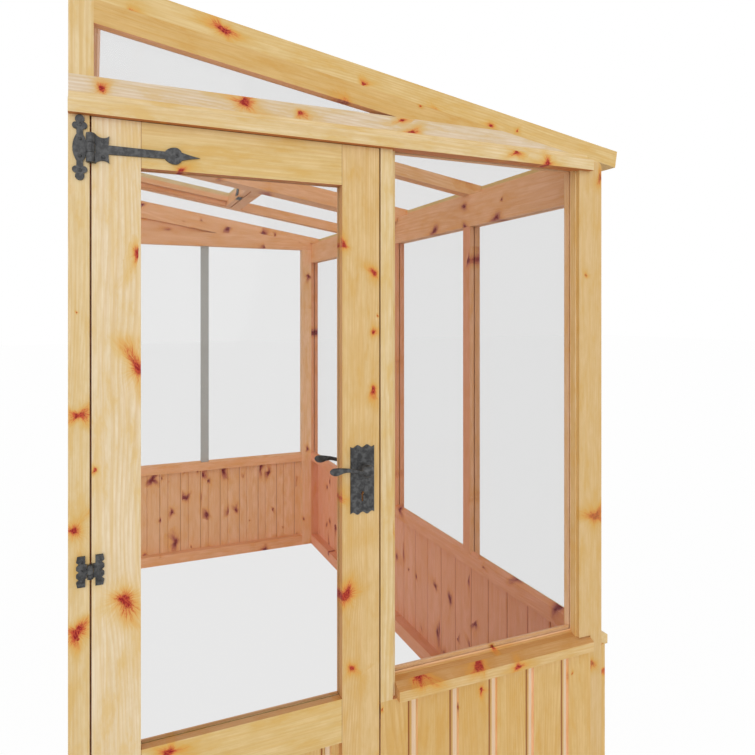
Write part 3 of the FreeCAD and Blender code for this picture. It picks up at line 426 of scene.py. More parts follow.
def timber_place(recipe, direction, seed, board):
    """The place turned along the timber, a jump that moves its grain, a number for each
    board, and the way across the board from its joint."""
    where = recipe.object_place()
    place = recipe.built("ShaderNodeMapping", "Vector", {
        "Rotation": ALONG[direction], "Vector": where})
    if board is None:
        return place, Vector([seed * step for step in SEED_STEPS]), None, None
    axis, start, plain_until = board
    count = recipe.math("DIVIDE", recipe.minus(recipe.parts(where)[axis], start), BOARD_COVER)
    dice = recipe.fill(recipe.add("ShaderNodeTexWhiteNoise", noise_dimensions="1D"), {
        "W": recipe.plus(recipe.math("FLOOR", count), seed + 0.5)})
    jump = recipe.scaled(dice["Color"], BOARD_JUMP)
    joint = recipe.times(recipe.math("FRACT", count), BOARD_COVER)
    plain = recipe.times(recipe.math("LESS_THAN", count, plain_until), BOARD_COVER / 2)
    return place, jump, dice["Value"], recipe.math("MAXIMUM", joint, plain)


def grain(recipe, bent, place):
    """How far a spot lies in a growth line, in a fibre and in a cloud, each from 0 to 1."""
    across = recipe.parts(bent)
    hills = pattern(recipe, "hills", bent)
    slope = recipe.times(recipe.plus(across[1], across[2]), LINES_PER_METRE)
    ring = recipe.math("FRACT", recipe.plus(slope, recipe.times(hills, HILL_HEIGHT)))
    line = recipe.band(ring, LINE_RISE, LINE_FALL)
    return line, pattern(recipe, "fibre", bent), pattern(recipe, "cloud", place)


print("patterns", list(PATTERNS))

# %% [markdown]
# A knot is a ragged crimson heart with rays of red and orange that fade into ochre. It is
# longer on one side than on the other, because the branch grew at a slant. A round spot of
# red would look like paint, so the way to the knot's centre is stretched by lobes, hatched by
# rays and roughened by specks before it is turned into colour. Inside, the knots are darker:
# painted shade, like the rest of the inward faces.

# %% Colours of the knots
OUTER_KNOT = {"heart": (0.27, 0.012, 0.015), "red": (0.55, 0.072, 0.024),
              "orange": (0.70, 0.33, 0.060)}
# The inner knots are darker: painted shade, like the inner tones.
INNER_KNOT = {"heart": (0.17, 0.033, 0.037), "red": (0.31, 0.060, 0.058),
              "orange": (0.52, 0.17, 0.12)}
# How fine the lobes and rays are round a knot, and how far they move its edge, in radii.
LOBE_FINENESS = 0.42
LOBE_DRIFT = 6.0
LOBE_REACH = (0.32, 0.64, 0.55, 1.9)
RAY_FINENESS = 9.0
RAY_TWIST = 0.7
RAY_DEPTH = 2.0
RAGGED_DEPTH = 1.1
HEART_SPECKS = (0.42, 0.62)
FLAME_SPECKS = (0.36, 0.56, 0.30, 1.0)
# Where each ring of colour starts and ends to fade, in radii, and its strength.
HALO = (0.5, 4.8, 0.85)
GLOW = (0.5, 2.7, 0.90)
FLAME = (0.5, 1.6)
HEART = (0.45, 0.82)


def knot_colours(recipe, colour, nearest, place, kind, tanned):
    """Lays the nearest knot over a colour: halo, glow, flames, then the heart."""
    aim = recipe.vector("NORMALIZE", nearest)
    drift = recipe.scaled(place, LOBE_DRIFT)
    lobes = recipe.vector("ADD", recipe.scaled(aim, LOBE_FINENESS), drift)
    twist = recipe.scaled(nearest, RAY_TWIST)
    rays = recipe.vector("ADD", recipe.scaled(aim, RAY_FINENESS), twist)
    lobes, rays = (pattern(recipe, "plain", where) for where in (lobes, rays))
    speck = pattern(recipe, "speck", place)
    reach = recipe.times(recipe.vector("LENGTH", nearest), recipe.ease(lobes, *LOBE_REACH))
    ragged = recipe.plus(reach, recipe.times(recipe.minus(speck, 0.5), RAGGED_DEPTH))
    hatched = recipe.plus(reach, recipe.times(recipe.minus(rays, 0.5), RAY_DEPTH))
    colour = recipe.mix(recipe.fade(hatched, *HALO), colour, tanned)
    colour = recipe.mix(recipe.fade(hatched, *GLOW), colour, kind["orange"])
    flame = recipe.times(recipe.fade(hatched, *FLAME), recipe.ease(speck, *FLAME_SPECKS))
    colour = recipe.mix(flame, colour, kind["red"])
    heart = recipe.mix(recipe.ease(speck, *HEART_SPECKS), kind["heart"], kind["red"])
    return recipe.mix(recipe.fade(ragged, *HEART), colour, heart)


print("knot colours", list(OUTER_KNOT))

# %% [markdown]
# Between two boards there is a dark line, with a hollow before it and the pale scooped edge
# of the next board after it; inside, only a fine groove shows. The tongues and scoops are
# real shapes in the model, and their tones are painted over them, because soft lamps alone
# don't draw lines so narrow: painted shadow in the line, the hollow and the inner groove, and
# a paler colour on the scoop. The gaps round the door get painted shadow in the same way, as
# lines at places measured from the corner.

# %% Colours of joints and gaps
# Painted shadow, for the joints, the hollows and the gaps.
JOINT_SHADOW = (0.23, 0.050, 0.014)
GAP_SHADOW = (0.050, 0.003, 0.006)
# The scooped edge after each joint is painted paler than the face of the board.
PALE_SCOOP = (0.80, 0.64, 0.46)
PALE_SCOOP_SHARE = 0.85
SCOOP_RISE = (0.0024, 0.0036)
SCOOP_FALL = (0.0120, 0.0150)
JOINT_LINE = 0.0078
HOLLOW = 0.0070
HOLLOW_SHARES = (0.05, 0.40)
OUTER_LINE = (0.0010, 0.0026, 0.85)
INNER_LINE = (0.0008, 0.0026)
INNER_LINE_SHARE = 0.65
SEAM_EDGES = (0.7, 1.3)


def joint_colours(recipe, colour, across, out):
    """The painted shadow in the dark line and the hollow before each joint, the paler scooped
    edge after it, and the painted shadow in the groove that shows inside."""
    # The scooped edge, painted paler.
    strip = recipe.times(recipe.band(across, SCOOP_RISE, SCOOP_FALL), out)
    colour = recipe.mix(recipe.times(strip, PALE_SCOOP_SHARE), colour, PALE_SCOOP)
    # Painted shadow in the hollow and the dark line before each joint.
    before = recipe.minus(BOARD_COVER, across)
    hollow = recipe.band(before, (0.0, HOLLOW), (HOLLOW, JOINT_LINE), *HOLLOW_SHARES)
    colour = recipe.mix(recipe.times(hollow, out), colour, JOINT_SHADOW)
    line = recipe.fade(recipe.away(before, JOINT_LINE), *OUTER_LINE)
    colour = recipe.mix(recipe.times(line, out), colour, JOINT_SHADOW)
    # Painted shadow in the groove on the inner face.
    groove = recipe.fade(recipe.away(across, BOARD_COVER - JOINT_LINE), *INNER_LINE)
    groove = recipe.times(groove, recipe.minus(1.0, out))
    return recipe.mix(recipe.times(groove, INNER_LINE_SHARE), colour, JOINT_SHADOW)


def seam_colours(recipe, colour, seams):
    """Painted shadow lines at gaps and joints beside a timber, or a tint, at places on one axis.
    """
    where = recipe.parts(recipe.vector("SUBTRACT", recipe.object_place(), CORNER))
    for axis, place, width, strength, tint in seams:
        start, end = (width * edge for edge in SEAM_EDGES)
        line = recipe.fade(recipe.away(where[axis], place), start, end, strength)
        colour = recipe.mix(line, colour, tint)
    return colour


print("joint line", JOINT_LINE, "m before each joint")

# %% [markdown]
# Each timber has a tone outside and a tone inside; the inner tone is painted bounce light and
# shade. At the front two more are laid over them: the undersides, which only see the floor,
# are painted the deep red brown of their shade, and the reveals behind a pane are painted with
# a glow of light, because the light comes to them through the glass. Lamps placed for these
# strips alone would spoil the rest, so both are painted tones, found by the normal and by the
# depth.

# %% The tone of a face
# Painted shade: the deep red brown of the undersides at the front.
UNDERSIDE_SHADE = (0.56, 0.205, 0.060)
FACES_DOWN = (-0.9, -0.5)
# Painted light: the glow of the reveals behind a pane.
BEHIND_GLASS = (0.96, 0.60, 0.34)
BEHIND_GLASS_SHARE = 0.9
BEHIND_GLASS_START = (0.029, 0.034)
BEHIND_GLASS_END = (0.056, 0.0565)


def toned(recipe, out, tones, at_front):
    """The outer or inner tone, with painted shade under and painted glow in reveals at the front.
    """
    # The inner tone is painted bounce light and shade.
    tone = recipe.mix(out, tones[1], tones[0])
    if not at_front:
        return tone
    found = recipe.add("ShaderNodeTexCoord").outputs
    # Painted shade on the undersides.
    down = recipe.fade(recipe.parts(found["Normal"])[UP], *FACES_DOWN)
    tone = recipe.mix(recipe.times(down, recipe.minus(1.0, out)), tone, UNDERSIDE_SHADE)
    # Painted light glowing in the reveals behind the glass.
    depth = recipe.minus(recipe.parts(found["Object"])[INWARDS], CORNER.y)
    glow = recipe.band(depth, BEHIND_GLASS_START, BEHIND_GLASS_END)
    return recipe.mix(recipe.times(glow, BEHIND_GLASS_SHARE), tone, BEHIND_GLASS)


print("reveals glow from", BEHIND_GLASS_START[0], "to", BEHIND_GLASS_END[1], "m deep")

# %% [markdown]
# The wood between the knots is one tone in many shades: pale and ochre clouds, ochre streaks,
# and darker growth lines and fibres. Each shade is worked out from the tone, so that a timber
# keeps its character when its tone changes.

# %% Colours of the grain
SHADES = {
    "pale": Vector((1.10, 1.15, 1.32)),
    "ochre": Vector((0.96, 0.85, 0.60)),
    "deep": Vector((0.86, 0.70, 0.46)),
    "tanned": Vector((0.92, 0.73, 0.33)),
}
# From and to which height a pattern shows, and how strongly at either end.
PALE_CLOUD = (0.36, 0.54, 0.70, 0.0)
OCHRE_CLOUD = (0.50, 0.68, 0.0, 0.95)
OCHRE_STREAK = (0.46, 0.68, 0.0, 0.60)
GROWTH_LINE = (0.38, 0.64, 0.10, 0.42)
DARK_FIBRE = (0.40, 0.72, 0.0, 0.34)
BOARD_TO_BOARD = 0.30


def grain_colours(recipe, tone, shade, place, patterns, dice):
    """Lays the shades over the tone; the dice make each board a little deeper or paler."""
    line, fibre, cloud = patterns
    fade = pattern(recipe, "fade", place)
    streak = pattern(recipe, "streak", place)
    colour = recipe.mix(recipe.ease(cloud, *PALE_CLOUD), tone, shade["pale"])
    colour = recipe.mix(recipe.ease(cloud, *OCHRE_CLOUD), colour, shade["ochre"])
    colour = recipe.mix(recipe.ease(streak, *OCHRE_STREAK), colour, shade["ochre"])
    if dice is not None:
        colour = recipe.mix(recipe.times(dice, BOARD_TO_BOARD), colour, shade["deep"])
    growth = recipe.times(recipe.ease(fade, *GROWTH_LINE), line)
    colour = recipe.mix(growth, colour, shade["deep"])
    return recipe.mix(recipe.ease(fibre, *DARK_FIBRE), colour, shade["deep"])


print("pine shades", list(SHADES))

# %% [markdown]
# One timber meets both kinds of knots. Their edges would look drawn with a compass, so the
# place where they are read wobbles a little. The scattered ones are found first; then each
# set knot takes over wherever it is the nearer one.

# %% The knots of one timber
WOBBLE = 0.010
LARGEST_INSIDE = 0.0150
LARGEST_OUTSIDE = 0.0095


def knots_near(recipe, here, jump, out, turning, chances, knots):
    """The place bent round the knots, and the way from the nearest of them."""
    direction, flat = turning
    wobble = recipe.vector("SUBTRACT", pattern(recipe, "wobble", here, "Color"),
                           Vector((0.5, 0.5, 0.5)))
    wavy = recipe.vector("ADD", here, recipe.scaled(wobble, WOBBLE))
    chance = recipe.plus(chances[1], recipe.times(out, chances[0] - chances[1]))
    largest = recipe.ease(out, 0.0, 1.0, LARGEST_INSIDE, LARGEST_OUTSIDE)
    offset, nearest = scattered_knots(recipe, recipe.vector("ADD", wavy, jump), flat, chance,
                                      largest)
    place = recipe.vector("ADD", here, jump)
    bent = bend(recipe, place, offset, recipe.vector("LENGTH", nearest))
    for x, z, radius in knots:
        bent, nearest = recipe.fill(recipe.add("ShaderNodeGroup", node_tree=knot_nodes), {
            "Place": wavy, "Bent": bent, "Nearest": nearest, "Flat": flat,
            "Centre": turned(direction, from_corner(x, 0.0, z)),
            "Radii": KNOT_SPREAD * radius * Vector((KNOT_STRETCH, 1.0, 1.0))})
    return place, bent, nearest


print("largest knots", LARGEST_OUTSIDE, "m outside,", LARGEST_INSIDE, "m inside")

# %% [markdown]
# One finish of pine puts it all together: the tone, the grain, the knots and last the joints.
# Oiled pine has a low gloss, and a dark gap has none, so the gloss follows how light the
# colour is. The grain is raised a little with Bump, because it is too fine to be modelled.

# %% The pine recipe
# Chance of a knot in each cell, outside and inside.
FRONT_KNOTS = (0.14, 0.20)
TIMBER_KNOTS = (0.14, 0.42)
BOARD_KNOTS = (0.34, 0.6)
# How the roughness follows the clouds, and the gloss the colour's red.
OILED = (0.3, 0.7, 0.62, 0.50)
GLOSS = (0.10, 0.50, 0.01, 0.30)
GRAIN_RELIEF = 0.0004


def pine(name, direction, tones, seed, through="y", knots=(), chances=TIMBER_KNOTS, board=None,
         seams=(), at_front=False):
    """One finish of pine: tones and chances of knots are each given for outside and inside."""
    material, recipe, shader = new_finish(name)
    out = looks_out(recipe)
    here, jump, dice, across = timber_place(recipe, direction, seed, board)
    place, bent, nearest = knots_near(recipe, here, jump, out, (direction, FLAT[through]),
                                      chances, knots)
    tone = toned(recipe, out, tones, at_front)
    shade = {key: recipe.vector("MULTIPLY", tone, factor) for key, factor in SHADES.items()}
    line, fibre, cloud = grain(recipe, bent, place)
    colour = grain_colours(recipe, tone, shade, place, (line, fibre, cloud), dice)
    kind = OUTER_KNOT
    # Inside, the knots are painted darker, as shade.
    if not at_front:
        kind = {key: recipe.mix(out, INNER_KNOT[key], OUTER_KNOT[key]) for key in OUTER_KNOT}
    colour = knot_colours(recipe, colour, nearest, place, kind, shade["tanned"])
    if board:
        colour = joint_colours(recipe, colour, across, out)
    colour = seam_colours(recipe, colour, seams)
    recipe.fill(shader, {
        "Base Color": colour, "Roughness": recipe.ease(cloud, *OILED),
        "Specular IOR Level": recipe.ease(recipe.parts(colour)[0], *GLOSS),
        "Normal": recipe.built("ShaderNodeBump", "Normal", {
            "Strength": 0.15, "Distance": GRAIN_RELIEF,
            "Height": recipe.plus(fibre, recipe.times(line, 0.5))})})
    return material


print("pine recipe ready")

# %% [markdown]
# Each line below names a timber, how it runs and its two tones. The hinge stile is the palest
# timber and the rafters are the most yellow. The inner tones are painted bounce light and shade,
# so inside everything is rosy. Then come the knots that can be recognised, by how far they lie
# across and up from the front corner, and their radius.

# %% Tones
PALE = (0.765, 0.620, 0.400)
HONEY = (0.72, 0.555, 0.300)
YELLOW = (0.69, 0.50, 0.220)
PINKISH = (0.69, 0.575, 0.425)
TAWNY = (0.685, 0.48, 0.22)
AMBER = (0.635, 0.412, 0.150)
BOARD = (0.68, 0.465, 0.19)
# Inner tones: painted bounce light and shade on the reveals, sills and inward faces.
REVEAL = (0.72, 0.47, 0.205)
WARM_REVEAL = (0.60, 0.32, 0.125)
SILL = (0.58, 0.30, 0.105)
SILL_SLOPE = (0.60, 0.33, 0.125)
FAR_ROSY = (0.86, 0.54, 0.32)
SIDE_ROSY = (0.84, 0.42, 0.27)
DEEP_DUSK = (0.75, 0.34, 0.185)
ROSY = (0.84, 0.465, 0.25)
DUSK = (0.80, 0.38, 0.225)
CORNER_BROWN = (0.554, 0.289, 0.060)

# Each timber: its direction, its outer tone, then its inner tone of painted bounce light and
# shade.
TIMBERS = {
    "front_posts": ("upright", HONEY, REVEAL),
    "front_cover_boards": ("upright", HONEY, REVEAL),
    "door_hinge_stile": ("upright", PALE, WARM_REVEAL),
    "door_lock_stile": ("upright", TAWNY, WARM_REVEAL),
    "door_rails": ("across", YELLOW, WARM_REVEAL),
    "front_head_rail": ("across", PINKISH, REVEAL),
    "front_window_rails": ("across", AMBER, SILL),
    "door_threshold": ("across", HONEY, REVEAL),
    "front_sill_capping": ("across", TAWNY, SILL_SLOPE),
    "front_drip_fillet": ("across", HONEY, REVEAL),
    "far_sill_capping": ("across", HONEY, ROSY),
    "side_sill_capping": ("lengthways", HONEY, ROSY),
    "roof_eaves_rails": ("lengthways", YELLOW, ROSY),
    "far_cover_boards": ("upright", HONEY, ROSY),
    "gable_rake_rails": ("down_slope", AMBER, ROSY),
    "roof_end_rafters": ("down_slope", YELLOW, ROSY),
    "far_posts": ("upright", HONEY, FAR_ROSY),
    "far_rails": ("across", HONEY, ROSY),
    "far_gable_infill": ("across", HONEY, ROSY),
    "side_bottom_rail": ("lengthways", HONEY, DUSK),
    "side_sill_rail": ("lengthways", HONEY, DUSK),
    "side_eaves_plate": ("lengthways", HONEY, ROSY),
    "roof_wall_rails": ("lengthways", HONEY, ROSY),
    "roof_middle_rafters": ("down_slope", HONEY, ROSY),
    "roof_joint_rafters": ("down_slope", HONEY, ROSY),
    "vent_trimmer": ("lengthways", HONEY, ROSY),
    "vent_rails": ("lengthways", HONEY, ROSY),
    "vent_stiles": ("down_slope", HONEY, ROSY),
    "vent_seat": ("lengthways", HONEY, ROSY),
    "side_corner_posts": ("upright", HONEY, DEEP_DUSK),
    "side_middle_posts": ("upright", HONEY, DEEP_DUSK),
}
print("timbers", len(TIMBERS))

# %% Knots that can be recognised
KNOTS = {
    "front_cover_boards": [
        (1.302, 1.774, 0.006), (1.220, 1.381, 0.006), (1.285, 0.857, 0.013),
        (1.217, 1.017, 0.007), (1.255, 1.509, 0.004), (0.011, 0.992, 0.010),
        (0.016, 0.796, 0.008), (1.274, 0.467, 0.006)],
    "door_hinge_stile": [
        (0.051, 1.742, 0.004), (0.127, 1.296, 0.014), (0.050, 1.104, 0.003),
        (0.100, 0.845, 0.014)],
    "door_lock_stile": [
        (0.563, 1.561, 0.006), (0.636, 1.500, 0.008), (0.634, 1.364, 0.006),
        (0.634, 1.236, 0.006), (0.566, 0.770, 0.014), (0.580, 0.603, 0.008)],
    "door_rails": [(0.209, 1.700, 0.006), (0.185, 0.520, 0.009)],
    "front_head_rail": [
        (0.059, 1.845, 0.005), (0.340, 1.856, 0.014), (0.462, 1.852, 0.005),
        (0.712, 1.864, 0.006), (0.733, 1.836, 0.008)],
    "front_window_rails": [(0.98, 0.555, 0.004)],
    "front_sill_capping": [(0.759, 0.548, 0.012), (1.021, 0.514, 0.008)],
    "front_drip_fillet": [(1.115, 1.794, 0.010)],
    "gable_rake_rails": [(0.575, 1.879, 0.006)],
    "roof_end_rafters": [
        (0.295, 2.004, 0.008), (0.110, 2.003, 0.004), (0.612, 1.934, 0.004),
        (0.810, 1.890, 0.005), (0.962, 1.880, 0.008), (1.040, 1.875, 0.004)],
}
print("set knots", sum(len(knots) for knots in KNOTS.values()))

# %% [markdown]
# The lines beside the door are painted shadow in the gaps that let it swing and in the joints
# of its frame. Each is given by its axis, its place from the corner, its half width, its
# strength and its colour. The last one isn't a gap: the corner stile is a little browner down
# its middle.

# %% Timber finishes
# Painted shadow in the gaps round the door, along its top and in the joints of its frame.
DOOR_GAPS = [(ACROSS, 0.0395, 0.0017, 1.0, GAP_SHADOW),
             (ACROSS, 0.6505, 0.0017, 1.0, JOINT_SHADOW)]
DOOR_TOP = [(UP, 1.7894, 0.0016, 0.85, GAP_SHADOW)]
DOOR_JOINTS = [(ACROSS, place, 0.0014, 0.55, JOINT_SHADOW) for place in (0.1310, 0.5580)]
CORNER_TINT = (ACROSS, 1.262, 0.060, 0.35, CORNER_BROWN)
SEAMS = {
    "front_cover_boards": DOOR_GAPS + [CORNER_TINT],
    "door_hinge_stile": DOOR_GAPS + DOOR_TOP,
    "door_lock_stile": DOOR_GAPS + DOOR_TOP,
    "door_rails": DOOR_JOINTS + DOOR_TOP,
}
for seed, (name, (direction, outer, inner)) in enumerate(TIMBERS.items(), start=1):
    at_front = name.startswith(("front_", "door_"))
    through = "z" if name in ("side_corner_posts", "side_middle_posts") else "y"
    finish([name], pine("pine_" + name, direction, (outer, inner), seed, through,
                        knots=KNOTS.get(name, ()), seams=SEAMS.get(name, ()),
                        chances=FRONT_KNOTS if at_front else TIMBER_KNOTS, at_front=at_front))
print("timber finishes", len(TIMBERS))

# %% [markdown]
# Match boards stand side by side. Their finish counts them from where the first one starts,
# so that each gets its own grain and its joints fall on the real ones. The side boarding
# starts with a plain edge, so it has no pale scoop in the first half of its first board.

# %% Board finishes
NO_PLAIN_EDGE = -99.0
PLAIN_EDGE = 0.5
WALL_BOARDS = (ACROSS, CORNER.x + 0.732, NO_PLAIN_EDGE)
DOOR_BOARDS = (ACROSS, CORNER.x + 0.187, NO_PLAIN_EDGE)
SIDE_BOARDS = (INWARDS, CORNER.y, PLAIN_EDGE)
# The first tone of each is the inner one: painted bounce light and shade.
BOARDS = {
    "front_match_boards": (ROSY, WALL_BOARDS, "y"),
    "door_match_boards": (ROSY, DOOR_BOARDS, "y"),
    "far_match_boards": (FAR_ROSY, WALL_BOARDS, "y"),
    "side_match_boards": (SIDE_ROSY, SIDE_BOARDS, "z"),
}
for seed, (name, (inner, board, through)) in enumerate(BOARDS.items(), start=len(TIMBERS) + 1):
    finish([name], pine("pine_" + name, "upright", (BOARD, inner), seed, through,
                        chances=BOARD_KNOTS, board=board))
print("board finishes", len(BOARDS))

# %% [markdown]
# Horticultural glass is thin and clear. It is made as a faint dark film that lets most of
# the light through and still mirrors the surroundings a little. Each pane has two faces, so
# the film counts twice. Real refraction would only add noise behind a flat pane.

# %% Glass
FILM = ((0.020, 0.022, 0.022), (0.030, 0.031, 0.031))
# The share that each face hides of what is behind it.
PANES = {
    "front_glass": (0.105, ["gable_window_pane", "front_window_pane", "door_pane"]),
    "side_glass": (0.045, ["side_window_panes"]),
    "far_glass": (0.015, ["far_window_panes"]),
    "roof_glass": (0.045, ["roof_panes", "vent_pane"]),
}


def clear_glass(name, cover):
    """A pane whose faces each hide a share of what is behind them."""
    material, recipe, shader = new_finish(name)
    ripple = recipe.noise(recipe.object_place(), Vector((1.5, 1.5, 1.5)), 1.0, 0.5)
    recipe.fill(shader, {
        "Base Color": recipe.mix(ripple, *FILM), "Alpha": cover, "Roughness": 0.03, "IOR": 1.5})
    return material


for name, (cover, panes) in PANES.items():
    finish(panes, clear_glass(name, cover))
print("glass", list(PANES))

# %% [markdown]
# The door furniture is black iron with a softly hammered face. Its edges catch the light,
# and the colour is a cold dark grey rather than a true black. The dents are far too many to
# model, so a cell pattern raises them with Bump. What is hidden in the lock is plain steel.

# %% Iron and steel
DENTS_PER_METRE = 220.0
DENT_DEPTH = 0.0005
IRON_CLOUD = Vector((95.0, 95.0, 95.0))
IRON_DARK = (0.021, 0.021, 0.022)
IRON_WORN = (0.086, 0.087, 0.088)
WORN = (0.38, 0.66)
IRON_ROUGHNESS = (0.3, 0.8, 0.44, 0.62)
STREAKS = Vector((40.0, 40.0, 300.0))
STREAK_SHADE = 0.88


def hammered_iron():
    """Black iron with dents and worn clouds."""
    material, recipe, shader = new_finish("black_iron")
    where = recipe.object_place()
    dents = recipe.built("ShaderNodeTexVoronoi", "Distance", {
        "Scale": DENTS_PER_METRE, "Vector": where}, feature="SMOOTH_F1")
    cloud = recipe.noise(where, IRON_CLOUD, 3.0, 0.65)
    colour = recipe.mix(recipe.ease(cloud, *WORN), IRON_DARK, IRON_WORN)
    recipe.fill(shader, {
        "Base Color": colour, "Metallic": 0.2, "Roughness": recipe.ease(cloud, *IRON_ROUGHNESS),
        "Normal": recipe.built("ShaderNodeBump", "Normal", {
            "Strength": 0.45, "Distance": DENT_DEPTH,
            "Height": recipe.plus(dents, recipe.times(cloud, 0.4))})})
    return material


def plain_finish(name, colour, metallic, roughness):
    """A finish with a slow change of roughness, for the small plain parts."""
    material, recipe, shader = new_finish(name)
    streaks = recipe.noise(recipe.object_place(), STREAKS, 2.0, 0.6)
    darker = tuple(c * STREAK_SHADE for c in colour)
    recipe.fill(shader, {
        "Base Color": recipe.mix(streaks, colour, darker), "Metallic": metallic,
        "Roughness": recipe.ease(streaks, 0.3, 0.7, roughness, roughness + 0.12)})
    return material


iron = hammered_iron()
finish(["post_hinge_plates", "door_hinge_straps", "door_hinge_pins", "door_handle_plates",
        "door_levers", "vent_turn_button", "vent_fixed_leaves", "vent_sash_leaves",
        "vent_pull_plate"], iron)
finish(["door_lock_case", "door_latch_bolt", "door_dead_bolt", "door_keep", "lever_spindle"],
       plain_finish("bright_steel", (0.55, 0.55, 0.56), 1.0, 0.28))
finish(["far_joint_strip"], plain_finish("grey_strip", (0.47, 0.49, 0.47), 0.0, 0.55))
print("iron and steel done")

# %% [markdown]
# Forged plates have no sharp edges. The measured plates are loose triangles, so a Weld
# modifier joins them first, and a Bevel modifier then rounds what is sharper than 40 degrees.
# A Weighted Normal modifier comes last: it shades the broad faces flat up to the rounding,
# where plain smooth shading would draw creases across them.

# %% Softened edges
IRON_EDGE = 0.0007
SHARP = math.radians(40.0)
SOFTENED = ["post_hinge_plates", "door_hinge_straps", "door_handle_plates"]
for name in SOFTENED:
    weld = nodes[name].modifiers.new("weld", "WELD")
    weld.merge_threshold = 0.00001
    edge = nodes[name].modifiers.new("edge", "BEVEL")
    edge.width = IRON_EDGE
    edge.segments = 2
    edge.limit_method = "ANGLE"
    edge.angle_limit = SHARP
    even = nodes[name].modifiers.new("even", "WEIGHTED_NORMAL")
    even.keep_sharp = True
print("softened", len(SOFTENED), "parts by", IRON_EDGE)

# %% [markdown]
# The plates are held by black round-headed screws. One head is a low dome with a slot sawn
# across it. Geometry Nodes put a copy on every point of a small mesh of screw places and turn
# each slot its own way, as no two screws end alike. Copies by hand would need as many turns.

# %% The screws
SCREW_WIDTH = 0.0075
SCREW_HEIGHT = 0.0020
SLOT_SHARE = 0.16
SLOT_DEPTH_SHARE = 0.6


def screw_nodes():
    """Points in, slotted screw heads that face the front out."""
    group = bpy.data.node_groups.new("screw_heads", "GeometryNodeTree")
    group.interface.new_socket("Geometry", in_out="INPUT", socket_type="NodeSocketGeometry")
    for label in ("Width", "Height"):
        group.interface.new_socket(label, in_out="INPUT", socket_type="NodeSocketFloat")
    group.interface.new_socket("Finish", in_out="INPUT", socket_type="NodeSocketMaterial")
    group.interface.new_socket("Geometry", in_out="OUTPUT", socket_type="NodeSocketGeometry")
    recipe = Recipe(group)
    given = recipe.add("NodeGroupInput").outputs
    width, height = given["Width"], given["Height"]
    ball = recipe.built("GeometryNodeMeshUVSphere", "Mesh", {
        "Segments": 20, "Rings": 10, "Radius": recipe.times(width, 0.5)})
    flatness = recipe.math("DIVIDE", recipe.times(height, 2.0), width)
    dome = recipe.built("GeometryNodeTransform", "Geometry", {
        "Geometry": ball, "Scale": recipe.point(1.0, 1.0, flatness)})
    blade = recipe.point(recipe.times(width, 2.0), recipe.times(width, SLOT_SHARE),
                         recipe.times(height, SLOT_DEPTH_SHARE * 2))
    saw = recipe.built("GeometryNodeMeshCube", "Mesh", {"Size": blade})
    saw = recipe.built("GeometryNodeTransform", "Geometry", {
        "Geometry": saw, "Translation": recipe.point(0.0, 0.0, height)})
    head = recipe.built("GeometryNodeMeshBoolean", "Mesh", {"Mesh 1": dome, "Mesh 2": saw},
                        operation="DIFFERENCE")
    spin = recipe.built("FunctionNodeRandomValue", "Value", {"Max": math.pi, "Seed": 7},
                        data_type="FLOAT")
    placed = recipe.built("GeometryNodeInstanceOnPoints", "Instances", {
        "Points": given["Geometry"], "Instance": head,
        "Rotation": recipe.point(math.radians(90.0), spin, 0.0)})
    real = recipe.built("GeometryNodeRealizeInstances", "Geometry", {"Geometry": placed})
    painted = recipe.built("GeometryNodeSetMaterial", "Geometry", {
        "Geometry": real, "Material": given["Finish"]})
    recipe.feed(recipe.add("NodeGroupOutput").inputs[0], painted)
    return group


screw_group = screw_nodes()
print("screw nodes", len(screw_group.nodes))

# %% [markdown]
# A post plate has four screws, a strap three, and each leaf of the small hinge three. The
# heads on the posts stay where they are and those on the door swing with it, so they are two
# objects, each made real and given to its own body.

# %% Screw places
HINGE_X = 0.039
PLATE_X = HINGE_X - 0.0185
PLATE_FACE = -0.004
TEE_HEIGHTS = (1.7255, 0.0965)
POST_PLATE_SCREWS = (-0.044, -0.0165, 0.0165, 0.044)
STRAP_SCREWS = ((0.023, 0.015), (0.023, -0.015), (0.160, 0.0))
MIDDLE_HEIGHT = 0.911
LEAF_X = 0.016
LEAF_SCREWS = (-0.019, 0.0, 0.019)


def made_real(obj):
    """The object with its modifiers turned into plain mesh."""
    evaluated = obj.evaluated_get(bpy.context.evaluated_depsgraph_get())
    plain = bpy.data.meshes.new_from_object(evaluated)
    obj.modifiers.clear()
    obj.data = plain


def screws(name, body, places):
    """Screw heads at places measured from the front corner, riding on a body."""
    points = bpy.data.meshes.new(name)
    points.from_pydata([from_corner(*place) for place in places], [], [])
    obj = bpy.data.objects.new(name, points)
    scene.collection.objects.link(obj)
    heads = obj.modifiers.new("heads", "NODES")
    heads.node_group = screw_group
    for socket, value in (("Width", SCREW_WIDTH), ("Height", SCREW_HEIGHT), ("Finish", iron)):
        heads[screw_group.interface.items_tree[socket].identifier] = value
    made_real(obj)
    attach(obj, body)
    print(name, len(places), "screws", len(obj.data.polygons), "faces")


frame_screws = [(PLATE_X, PLATE_FACE, tee + up) for tee in TEE_HEIGHTS for up in POST_PLATE_SCREWS]
frame_screws += [(HINGE_X - LEAF_X, PLATE_FACE, MIDDLE_HEIGHT + up) for up in LEAF_SCREWS]
door_screws = [(HINGE_X + out, PLATE_FACE, tee + up)
               for tee in TEE_HEIGHTS for out, up in STRAP_SCREWS]
door_screws += [(HINGE_X + LEAF_X, PLATE_FACE, MIDDLE_HEIGHT + up) for up in LEAF_SCREWS]
screws("frame_screws", "frame", frame_screws)
screws("door_screws", "door", door_screws)

# %% [markdown]
# A lever is forged and then filed smooth, so it has no flat anywhere. The boss is turned from
# a profile, and the grip is a skin over oval rings along a soft curve, ending in a paddle. A
# Boolean joins the two, and the pair stands for the plainer levers of the measured model.

# %% Skins over rings


